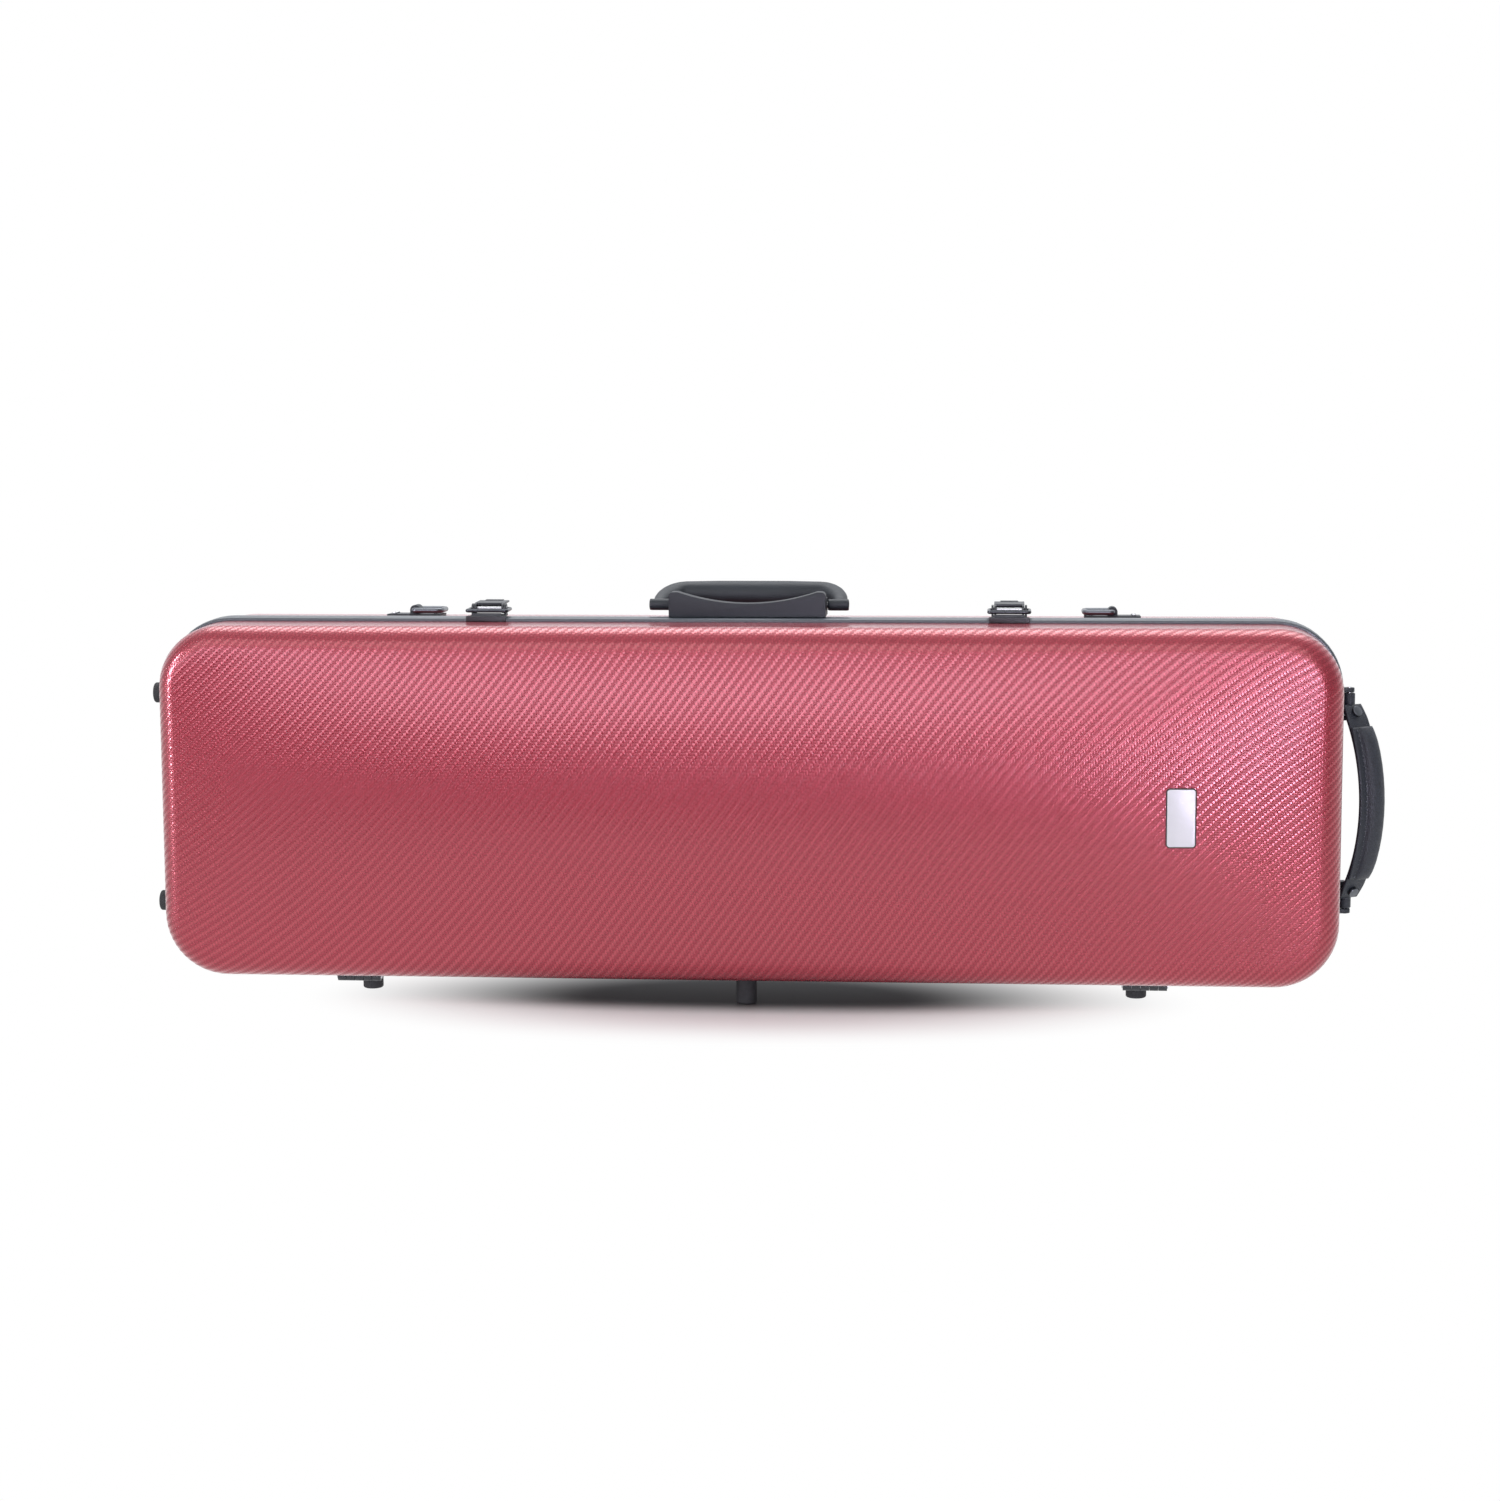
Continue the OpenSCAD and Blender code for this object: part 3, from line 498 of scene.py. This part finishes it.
def outline(inset):
    """Points round the case's outline, shrunk by inset, as (x, z) from its middle."""
    r = max(corner_r - inset, LEAST_CORNER)
    cx, cz = half_l - inset - r, half_h - inset - r
    corners = [(cx, cz, 0), (-cx, cz, 90), (-cx, -cz, 180), (cx, -cz, 270)]
    steps = [LONG_STEPS, SHORT_STEPS, LONG_STEPS, SHORT_STEPS]
    points = []
    for (x, z, start), straight in zip(corners, steps):
        for k in range(CORNER_STEPS + 1):
            angle = math.radians(start + 90 * k / CORNER_STEPS)
            points.append(Vector((x + r * math.cos(angle), z + r * math.sin(angle))))
        turn = math.radians(start + 90)
        end = points[-1]
        way = Vector((-math.sin(turn), math.cos(turn)))
        length = 2 * (cx if straight == LONG_STEPS else cz)
        points += [end + way * length * k / straight for k in range(1, straight)]
    return points


def crown_share(x, z):
    """How far the broad face is lifted at a place, as a share of the crown."""
    return (1 - (z / half_h) ** 2) * (1 - (x / half_l) ** 4)


class Dome:
    """One shell's surface, shrunk by skin on every side but the rim; side is -1 for the lid.

    Each ring is (inset from the outline, distance from the seam, scale): the wall and the rolled
    edge have scale 1, and the broad face shrinks ring by ring towards its middle.
    """

    rim_fade = 4 * MM
    relief_rise = 12

    def __init__(self, depth, crown, slope, rim, side, skin=0.0, face_rings=26):
        self.depth, self.crown, self.rim, self.side, self.skin = depth, crown, rim, side, skin
        flat = depth - crown - skin
        r = roll_r - skin
        wall = flat - r + r * math.sin(slope) - rim
        self.edge = r * math.cos(slope) + wall * math.tan(slope)
        self.rings = []
        for k in range(WALL_STEPS):
            share = k / WALL_STEPS
            self.rings.append((share * wall * math.tan(slope), rim + share * wall, 1.0))
        for k in range(ROLL_STEPS + 1):
            angle = slope + (math.pi / 2 - slope) * k / ROLL_STEPS
            self.rings.append((self.edge - r * math.cos(angle), flat - r + r * math.sin(angle), 1.0))
        for k in range(1, face_rings):
            self.rings.append((self.edge, flat, 1 - k / face_rings))
        self.lengths = self.unrolled_lengths()

    def unrolled_lengths(self):
        """How far each ring lies from the broad face, measured along the surface."""
        lengths = [0.0] * len(self.rings)
        for k in range(WALL_STEPS + ROLL_STEPS - 1, -1, -1):
            a, b = self.rings[k], self.rings[k + 1]
            lengths[k] = lengths[k + 1] + math.hypot(a[0] - b[0], a[1] - b[1])
        return lengths

    def point(self, x, y, z):
        """A place in the frame, from the outline's middle and the seam."""
        return Vector((x, seam_y + self.side * y, mid_z + z))

    def build(self, relief=None):
        """Points ring by ring and then the middle, with the flat place each came from."""
        points, flat = [], []
        for (inset, y, scale), length in zip(self.rings, self.lengths):
            unrolled = outline(self.edge + self.skin - length)
            for p, q in zip(outline(inset + self.skin), unrolled):
                x, z = p * scale
                fade = min(1, max(0, (y - self.rim) / self.rim_fade))
                lift = self.crown * crown_share(x, z) * fade
                if relief:
                    lift += relief(x, z) * min(1, (1 - scale) * self.relief_rise)
                points.append(self.point(x, y + lift, z))
                flat.append(q * scale)
        extra = relief(0, 0) if relief else 0
        points.append(self.point(0, self.depth - self.skin + extra, 0))
        flat.append(Vector((0, 0)))
        return points, flat

    def faces(self, first=0):
        """Faces of the rings and of the middle, when the points start at first."""
        n = len(outline(0))
        rings = len(self.rings)
        return loft_faces(rings, n, first=first) + fan_faces(first + (rings - 1) * n, n, first + rings * n)


def tow_count(place):
    """Tows counted from the middle of the cloth: the weave stretches sideways towards the ends.

    One repeat of the twill is four tows, with these widths and heights.
    """
    x, z = place
    width, width_at_end = 6.2 * MM, 7.7 * MM
    height, height_at_end = 8.5 * MM, 5.6 * MM
    tows, power = 4, 2.2
    t = abs(x) / half_l
    across = x / width + x * t ** power / (power + 1) * (1 / width_at_end - 1 / width)
    up = z / height + z * min(t, 1) ** power * (1 / height_at_end - 1 / height)
    return tows * across, tows * up


def rim_strip(first):
    """Faces that close the gap between the rims of two domes, the second one's points from first."""
    n = len(outline(0))
    return [(i, (i + 1) % n, first + (i + 1) % n, first + i) for i in range(n)]


def shell(name, node, body, form):
    """A moulded shell with its thickness, closed by a strip along the rim."""
    outer = Dome(*form)
    inner = Dome(*form, shell_t)
    points, flat = outer.build()
    inside, flat_inside = inner.build()
    first = len(points)
    faces = outer.faces() + inner.faces(first) + rim_strip(first)
    uvs = [tow_count(place) for place in flat + flat_inside]
    return add_piece(name, points + inside, faces, body, finishes["shell"], (node,), uvs)


def quilt(pitch, depth):
    """Diamond quilting: for each place a shift towards the shell; cushions stand proud by a share."""
    proud = 0.35

    def relief(x, z):
        """Most along the sewn lines, and least in the middle of each cushion."""
        a = math.sin(math.pi * (x / pitch + z / pitch))
        b = math.sin(math.pi * (x / pitch - z / pitch))
        return depth * (1 - math.sqrt(abs(a * b))) - depth * proud

    return relief


def lining(name, node, body, form, relief=None):
    """Padding against the inside of a shell, seen from the seam."""
    back = Dome(*form, shell_t + lining_gap)
    front = Dome(*form, shell_t + lining_gap + lining_t, face_rings=60)
    points, _ = back.build()
    inside, _ = front.build(relief)
    first = len(points)
    faces = back.faces() + front.faces(first) + rim_strip(first)
    return add_piece(name, points + inside, faces, body, finishes["lining"], (node,))


# ---------------------------------------------------------------- valances

def ring_piece(name, profile, body, material, replaces=()):
    """A profile of (grow, y from the seam) points carried round the case's outline."""
    points = []
    for grow, y in profile:
        points += [Vector((p.x, seam_y + y, mid_z + p.y)) for p in outline(-grow)]
    faces = loft_faces(len(profile), len(outline(0)), closed=True)
    return add_piece(name, points, faces, body, material, replaces)


def valance_profile(inner, outer, y0, y1, r, groove_y=None):
    """A rounded bar with a slightly bowed outer face and, if asked for, a fine groove round it."""
    bow, steps = 0.35 * MM, 8
    top = arc(outer - bow - r, y1 - r, r, 90, 0)
    bottom = arc(outer - bow - r, y0 + r, r, 0, -90)
    face = []
    for k in range(1, steps):
        y = y1 - r + (y0 - y1 + 2 * r) * k / steps
        share = 2 * k / steps - 1
        face.append((outer - bow * share * share, y))
    if groove_y is not None:
        half_w, depth, lip = 0.5 * MM, 0.5 * MM, 0.1 * MM
        floor = half_w * 0.4
        face = [p for p in face if abs(p[1] - groove_y) > 2 * half_w]
        face += [(outer - lip, groove_y + half_w), (outer - depth, groove_y + floor),
                 (outer - depth, groove_y - floor), (outer - lip, groove_y - half_w)]
        face.sort(key=lambda p: -p[1])
    return top + face + bottom + [(inner, y0), (inner, y1)]


def valances():
    """The two dark bars along the seam; the bottom one has a groove for the gasket."""
    y0, y1 = valance_lo.y - seam_y, valance_hi.y - seam_y
    profile = valance_profile(-valance_in, valance_out, y0, y1, 1.6 * MM, y0 + 3.2 * MM)
    ring_piece("bottom_valance_trim", profile, "bottom", finishes["valance"],
               ("bottom_valance",))
    y0, y1 = lid_valance_lo.y - seam_y, lid_valance_hi.y - seam_y
    profile = valance_profile(-valance_in, valance_out, y0, y1, 1.3 * MM)
    ring_piece("lid_valance_trim", profile, "lid", finishes["valance"],
               ("lid_valance",))


def piping():
    """Covered cord where each lining meets its valance."""
    cord, around = 1.4 * MM, 8
    for name, y, body in (("lid_piping", -lid_rim - cord, "lid"),
                          ("bottom_piping", bottom_rim + cord, "bottom")):
        profile = arc(-valance_in - cord * 1.6, y, cord, 0, 360 * (around - 1) / around, around - 1)
        ring_piece(name, profile, body, finishes["cradle"])


# ---------------------------------------------------------------- stitches

def capsules(name, lines, radius, body, material):
    """Short round-ended threads, one for each (start, end) pair; a station is (share, width)."""
    around = 6
    stations = [(0.0, 0.35), (0.12, 0.85), (0.5, 1.0), (0.88, 0.85), (1.0, 0.35)]
    points, faces = [], []
    for start, end in lines:
        way = (end - start).normalized()
        side = way.orthogonal().normalized()
        up = way.cross(side)
        length = (end - start).length
        first = len(points)
        for share, width in stations:
            for k in range(around):
                angle = 2 * math.pi * k / around
                offset = (side * math.cos(angle) + up * math.sin(angle)) * radius * width
                points.append(start + way * length * share + offset)
        faces += loft_faces(len(stations), around, first=first)
        last = first + (len(stations) - 1) * around
        faces += [tuple(range(first, first + around)), tuple(range(last, last + around))]
    return add_piece(name, points, faces, body, material)


def stitch_lines(path, pitch):
    """Stitch ends along a path of points, at an even pitch, with a gap after each stitch."""
    share = 0.68
    lines, carried = [], 0.0
    for a, b in zip(path, path[1:]):
        length = (b - a).length
        while carried < length:
            start = a.lerp(b, carried / length)
            stop = a.lerp(b, min(1, (carried + pitch * share) / length))
            lines.append((start, stop))
            carried += pitch
        carried -= length
    return lines


# ---------------------------------------------------------------- strap handle

class Strap:
    """The strap handle: a leather band with a stitched roll on it, bowed between two pins.

    pin_half is half a pin's length, and rise is how far the bow stands out past the pins' eyes.
    """

    thick = 2.4 * MM
    half_w = 8.8 * MM
    pad_half_w = 10 * MM
    pad_high = 5 * MM
    eye_r = 4 * MM
    pin_r = 1.65 * MM
    pin_half = 11.5 * MM
    rise = 20 * MM
    rest_turn = math.radians(-55)

    def __init__(self):
        pins_lo, pins_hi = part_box("strap_lug_pins")
        pad_lo, pad_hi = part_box("strap_pad")
        self.mid = (pins_lo + pins_hi) / 2
        self.half = (pins_hi.z - pins_lo.z) / 2 - self.pin_half
        self.turn = Matrix.Rotation(self.rest_turn, 4, "Z")
        self.r = (self.half ** 2 + self.rise ** 2) / (2 * self.rise)
        self.cx = self.eye_r + self.rise - self.r
        self.reach = math.asin(self.half / self.r)
        self.pad_reach = math.asin((pad_hi.z - pad_lo.z) / 2 / (self.r + self.pad_high))

    def point(self, angle, lift, across):
        """A place on the bow: angle along it, lift above the band's face, and distance across it."""
        local = Vector((self.cx + (self.r + lift) * math.cos(angle), across,
                        (self.r + lift) * math.sin(angle)))
        return self.mid + self.turn @ local

    def band(self):
        """The band, with rounded edges, wrapped round a pin at each end."""
        edge, narrowest, widening = 0.8 * MM, 0.84, 7
        section = rounded_box(-self.thick, 0, -self.half_w, self.half_w, edge)
        steps, points = 64, []
        for k in range(steps + 1):
            share = 2 * k / steps - 1
            width = narrowest + (1 - narrowest) * min(1, (1 - abs(share)) * widening)
            points += [self.point(self.reach * share, lift, across * width) for lift, across in section]
        faces = loft_faces(steps + 1, len(section))
        faces += end_caps(0, len(section), (steps + 1) * len(section))
        for side in (-1, 1):
            self.eye(points, faces, side)
        return add_piece("strap_band", points, faces, "strap_handle", finishes["leather"],
                         ("end_strap",))

    def eye(self, points, faces, side):
        """The turned-back loop that holds a pin."""
        half_w, edge, around = 7.4 * MM, 0.5 * MM, 20
        first = len(points)
        inner, outer = self.pin_r, self.eye_r
        profile = [(inner, -half_w), (outer - edge, -half_w), (outer, -half_w + edge),
                   (outer, half_w - edge), (outer - edge, half_w), (inner, half_w)]
        for radius, z in profile:
            for k in range(around):
                angle = 2 * math.pi * k / around
                local = Vector((radius * math.cos(angle), radius * math.sin(angle), side * self.half + z))
                points.append(self.mid + self.turn @ local)
        faces += loft_faces(len(profile), around, closed=True, first=first)

    def pad_lift(self, share, s):
        """Height of the roll over the band: a flat flap along one edge, then the stuffed part.

        share runs from -1 to 1 along the roll and s from -1 to 1 across it.
        """
        full, flap, seam = 5.4 * MM, 1.5 * MM, -0.42
        blunt, rounding = 0.12, 3.2
        inward = min(1, (1 - abs(share)) * rounding + blunt)
        high = full * math.sqrt(1 - (1 - inward) ** 2)
        if s < seam or high <= flap:
            return flap
        crease = 1 + 0.03 * math.sin(share * 41) + 0.015 * math.sin(share * 97 + 1)
        t = (s - seam) / (1 - seam)
        swell = math.sqrt(max(0, 1 - (2 * t - 1) ** 2))
        return flap + (high - flap) * swell * crease

    def pad(self):
        """The leather roll, a little wider than the band and narrowing towards its ends."""
        steps, across_steps = 72, 30
        narrowing, edge_lift, under_lift = 0.12, 0.6 * MM, 0.15 * MM
        sides = [2 * j / across_steps - 1 for j in range(across_steps + 1)]
        points = []
        for k in range(steps + 1):
            share = 2 * k / steps - 1
            angle = self.pad_reach * share
            width = self.pad_half_w * (1 - narrowing * share ** 4)
            for s in sides:
                lift = self.pad_lift(share, s) if abs(s) < 1 else edge_lift
                points.append(self.point(angle, lift, s * width))
            points += [self.point(angle, under_lift, s * width) for s in reversed(sides)]
        n = 2 * (across_steps + 1)
        faces = loft_faces(steps + 1, n) + end_caps(0, n, (steps + 1) * n)
        return add_piece("strap_grip_pad", points, faces, "strap_handle", finishes["leather"],
                         ("strap_pad",))

    def row(self, start, stop, lift, across):
        """A path along the bow, for stitches."""
        steps = 60
        return [self.point(start + (stop - start) * k / steps, lift, across) for k in range(steps + 1)]

    def stitching(self):
        """Thread along the roll's flap, and along both edges of the band beyond it."""
        flap_lift, flap_across, flap_pitch = 1.7 * MM, -5.2 * MM, 3.4 * MM
        band_lift, band_across, band_pitch = 0.1 * MM, 5.4 * MM, 3.0 * MM
        pad_end, beyond, last = self.pad_reach * 0.97, self.pad_reach * 1.03, self.reach * 0.95
        lines = stitch_lines(self.row(-pad_end, pad_end, flap_lift, flap_across), flap_pitch)
        for side in (-1, 1):
            for across in (-band_across, band_across):
                path = self.row(side * beyond, side * last, band_lift, across)
                lines += stitch_lines(path, band_pitch)
        return capsules("strap_stitches", lines, 0.4 * MM, "strap_handle", finishes["thread"])


def strap_handle():
    """The whole handle on the right end, without its hard fittings."""
    strap = Strap()
    strap.band()
    strap.pad()
    strap.stitching()


# ---------------------------------------------------------------- inside

def inflated(node, name, body, material):
    """A stuffed cloth pad: the node's form filled with air, by cloth simulation."""
    furthest = 1.6 * MM
    obj = even_copy(node, name, 3)
    apply_modifiers(obj)
    rest = [v.co.copy() for v in obj.data.vertices]
    scene = bpy.context.scene
    scene.frame_start, scene.frame_end = 1, 20
    cloth = obj.modifiers.new("air", "CLOTH")
    cloth.settings.quality = 4
    cloth.settings.use_pressure = True
    cloth.settings.uniform_pressure_force = 4
    cloth.settings.effector_weights.gravity = 0
    cloth.collision_settings.use_collision = False
    for number in range(scene.frame_start, scene.frame_end + 1):
        scene.frame_set(number)
    apply_modifiers(obj)
    scene.frame_set(1)
    for vertex, start in zip(obj.data.vertices, rest):
        shift = vertex.co - start
        if shift.length > furthest:
            vertex.co = start + shift.normalized() * furthest
    smooth = obj.modifiers.new("even out", "SMOOTH")
    smooth.iterations = 3
    finer = obj.modifiers.new("finer", "SUBSURF")
    finer.levels = finer.render_levels = 1
    apply_modifiers(obj)
    return dress(obj, body, material, (node,))


def inside():
    """Linings, foam parts, pads and the small fittings between the two shells."""
    lining("lid_quilting", "lid_lining", "lid", lid_form, quilt(46 * MM, 2.6 * MM))
    lining("bottom_padding", "bottom_lining", "bottom", bottom_form)
    piping()
    soften("body_cradle", "body_cradle_foam", "bottom", finishes["cradle"], 3, 6)
    soften("neck_block", "neck_block_foam", "bottom", finishes["cradle"], 3, 6)
    soften("bow_tip_sleeve", "bow_tip_pocket", "lid", finishes["lining"], 1.6, 4)
    inflated("suspension_pads", "suspension_cushions", "bottom", finishes["lining"])
    inflated("neck_strap", "neck_strap_padded", "bottom", finishes["leather"])
    keep_node("accessory_lid", finishes["cradle"], 0.8)
    keep_node("accessory_hinge_pin", finishes["steel"], 0.2)
    keep_node("accessory_pull", finishes["leather"], 0.6)
    keep_node("bow_spinner_studs", finishes["steel"], 0.3)
    keep_node("bow_spinner_top", finishes["latch"], 0.8)
    keep_node("bow_spinner_bottom", finishes["latch"], 0.8)


# ---------------------------------------------------------------- hardware

def plate_dark_rim():
    """A thin dark rim a little larger than the name plate, leaning where the lid's crown leans."""
    lo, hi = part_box("name_plate")
    middle = (lo + hi) / 2
    lean = Matrix.Rotation(math.radians(2.7), 4, "Z")
    half_w, half_high, corner = 9.9 * MM, 19.7 * MM, 2.6 * MM
    section = rounded_box(-half_w, half_w, -half_high, half_high, corner)
    points = []
    for depth in (0.6 * MM, -0.15 * MM):
        points += [middle + lean @ Vector((x, depth, z)) for x, z in section]
    n = len(section)
    faces = loft_faces(2, n) + end_caps(0, n, 2 * n)
    return add_piece("plate_dark_rim", points, faces, "lid", finishes["rubber"])


def hardware():
    """The grip, and the outer fittings that keep their CAD shape: edge softening, by finish."""
    plate_dark_rim()
    soften("handle_grip", "handle_bow", "main_handle", finishes["handle"], 0.9, 5)
    edges = {
        "handle": {"handle_base": 0.8, "ring_holders": 0.35, "strap_lugs": 0.35},
        "latch": {"latch_bases": 0.25, "latch_keepers": 0.25, "latch_left_lever": 0.3,
                  "latch_right_lever": 0.3, "hinge_case_leaves": 0.25, "hinge_lid_leaves": 0.25},
        "rubber": {"seam_gasket": 0.3, "lid_foot": 0.5, "rear_feet": 0.5, "end_pegs": 0.5},
        "plate": {"name_plate": 0.35},
        "ring": {"ring_left": 0.05, "ring_right": 0.05, "strap_snaps": 0.4},
        "wire": {"latch_left_bail": 0.05, "latch_right_bail": 0.05},
        "steel": {"handle_pins": 0.3, "handle_screws": 0.3, "ring_rivets": 0.3, "foot_screws": 0.2,
                  "lid_foot_screw": 0.2, "strap_lug_pins": 0.2, "latch_pins": 0.15, "hinge_pins": 0.15,
                  "hinge_case_screws": 0.15, "hinge_lid_screws": 0.15}}
    for finish, nodes in edges.items():
        for node, edge in nodes.items():
            keep_node(node, finishes[finish], edge)


# ---------------------------------------------------------------- stage, light and camera

def reach(finish, half_x, half_y, middle_y, near, far):
    """Rises from 0 to 1 outwards across the floor, between two shares of an ellipse's half axes."""
    place = finish.axes(finish.place((1 / half_x, 1 / half_y, 1), (0, -middle_y / half_y, 0)))
    squares = [finish.maths("POWER", place[axis], 2) for axis in ("X", "Y")]
    spread = finish.maths("SQRT", finish.maths("ADD", *squares))
    return finish.rise(spread, near, far, kind="SMOOTHSTEP")


def paper_white():
    """Matte paper with a painted shadow, near black in its colour under the case, that brightens to plain
    white away from it.
    """
    painted_shadow, bare = (0.04, 0.04, 0.045), (0.94, 0.94, 0.945)
    finish = Finish("paper_white", bare, roughness=0.5, specular_ior_level=0.05)
    finish.set("Normal", finish.bump(finish.noise(0.9, 3), 0.02))
    # painted shadow: the paper's colour is near black under the case and fades to its own white past it
    past_painted_shadow = reach(finish, half_x=0.3, half_y=0.075, middle_y=0.045, near=0.55, far=1.15)
    finish.set("Base Color", finish.mix(past_painted_shadow, painted_shadow, bare))
    away = reach(finish, half_x=0.417, half_y=0.2, middle_y=0.013, near=0.25, far=0.75)
    surface = finish.blend(away, finish.surface, finish.add("ShaderNodeEmission"))
    finish.feed(finish.tree.nodes["Material Output"].inputs["Surface"], surface)
    return finish.material


def stage_floor():
    """White paper on the floor; its front edge lies just outside the picture."""
    front, back, side = -0.89, 9.0, 7.0
    corners = [(-side, front, 0), (side, front, 0), (side, back, 0), (-side, back, 0)]
    mesh = bpy.data.meshes.new("paper")
    mesh.from_pydata(corners, [], [(0, 1, 2, 3)])
    paper = bpy.data.objects.new("paper", mesh)
    bpy.context.scene.collection.objects.link(paper)
    mesh.materials.append(paper_white())


def area_light(name, at, aim, size, power, colour=(1, 1, 1)):
    """A soft box at a place, facing another; its size is width and height, its power in watts."""
    light = bpy.data.lights.new(name, "AREA")
    light.shape = "RECTANGLE"
    light.size, light.size_y = size
    light.energy = power
    light.color = colour
    obj = bpy.data.objects.new(name, light)
    bpy.context.scene.collection.objects.link(obj)
    obj.location = at
    obj.rotation_euler = (Vector(aim) - Vector(at)).to_track_quat("-Z", "Y").to_euler()
    return obj


def studio_world():
    """White for the camera; for light and reflections a wall, brightest behind the case.

    The stops give the wall's brightness by height, from a dim floor up to the ceiling.
    """
    stops = [(0.0, 0.06), (0.09, 0.08), (0.12, 0.4), (0.35, 0.4), (0.7, 0.6), (1.0, 0.9)]
    world = bpy.data.worlds.new("studio")
    world.use_nodes = True
    bpy.context.scene.world = world
    world.node_tree.nodes.clear()
    nodes = Nodes(world.node_tree)
    way = nodes.axes(nodes.add("ShaderNodeTexCoord").outputs["Generated"])
    path = nodes.add("ShaderNodeLightPath").outputs

    ramp = nodes.add("ShaderNodeValToRGB")
    while len(ramp.color_ramp.elements) < len(stops):
        ramp.color_ramp.elements.new(0.5)
    for element, (place, value) in zip(ramp.color_ramp.elements, stops):
        element.position = place
        element.color = (value, value, value * 1.02, 1)
    nodes.feed(ramp.inputs["Fac"], nodes.rise(way["Z"], -0.1, 1.0))

    behind = nodes.rise(way["Y"], -0.1, 0.5, kind="SMOOTHSTEP")
    wall = nodes.mix(behind, ramp.outputs["Color"], (1.25, 1.27, 1.32))
    # matte surfaces get less from low down
    dimmer = nodes.maths("SUBTRACT", nodes.rise(way["Z"], 0, 0.5, 0.1, 1), 1)
    share = nodes.maths("ADD", 1, nodes.maths("MULTIPLY", path["Is Diffuse Ray"], dimmer))
    dimmed = nodes.add("ShaderNodeVectorMath", operation="SCALE")
    nodes.feed(dimmed.inputs[0], wall)
    nodes.feed(dimmed.inputs["Scale"], share)

    lighting = nodes.add("ShaderNodeBackground")
    nodes.feed(lighting.inputs["Color"], dimmed.outputs[0])
    nodes.feed(lighting.inputs["Strength"], 0.85)
    seen = nodes.add("ShaderNodeBackground")
    nodes.feed(seen.inputs["Color"], (1, 1, 1, 1))
    output = nodes.add("ShaderNodeOutputWorld")
    nodes.feed(output.inputs["Surface"], nodes.blend(path["Is Camera Ray"], lighting, seen))


def studio_lights():
    """Soft boxes overhead and in front, and three panels that show only as reflections."""
    middle = Vector((0, seam_y, mid_z))
    wide = 4.4
    area_light("overhead", (0.1, 1.0, 2.3), middle, (3.0, 1.3), 42)
    area_light("upper_panel", (-0.3, -2.0, 1.7), middle, (wide, 1.5), 31)
    fill = area_light("fill_panel", (-0.3, -2.8, 0.25), middle, (wide, 0.5), 24, (1, 0.97, 1.03))
    fill.visible_glossy = False
    reflected = [
        area_light("front_panel", (-0.5, -2.7, 0.6), (-0.5, 0, 0.5), (wide, 0.6), 31, (1, 0.93, 1.1)),
        area_light("right_panel", (0.95, -2.6, 0.05), middle, (0.6, 0.26), 10, (1, 0.88, 1.18)),
        area_light("left_strip", (-2.3, -1.0, 0.55), middle, (0.3, 1.1), 34, (1, 0.96, 1.08))]
    for light in reflected:
        light.visible_diffuse = False


def camera():
    """The picture's viewpoint: a long lens, a little right of the middle and above the case."""
    at = Vector((0.17447, -2.04956, 0.45022))
    yaw, pitch, roll = math.radians(-4.78), math.radians(7.68), math.radians(-0.26)
    forward = Vector((math.sin(yaw) * math.cos(pitch), math.cos(yaw) * math.cos(pitch), -math.sin(pitch)))
    level = Vector((math.cos(yaw), -math.sin(yaw), 0))
    upright = level.cross(forward)
    right = level * math.cos(roll) + upright * math.sin(roll)
    up = upright * math.cos(roll) - level * math.sin(roll)
    data = bpy.data.cameras.new("camera")
    data.sensor_fit = "HORIZONTAL"
    data.sensor_width = 36
    data.lens = 74.15
    data.clip_start = 0.05
    obj = bpy.data.objects.new("camera", data)
    bpy.context.scene.collection.objects.link(obj)
    turn = Matrix((right, up, -forward)).transposed().to_4x4()
    obj.matrix_world = Matrix.Translation(at) @ turn
    bpy.context.scene.camera = obj


# ---------------------------------------------------------------- the case

shell("bottom_twill", "bottom_shell", "bottom", bottom_form)
shell("lid_twill", "lid_shell", "lid", lid_form)
valances()
inside()
hardware()
strap_handle()

stage_floor()
studio_world()
studio_lights()
camera()
bpy.context.scene.view_settings.view_transform = "Standard"
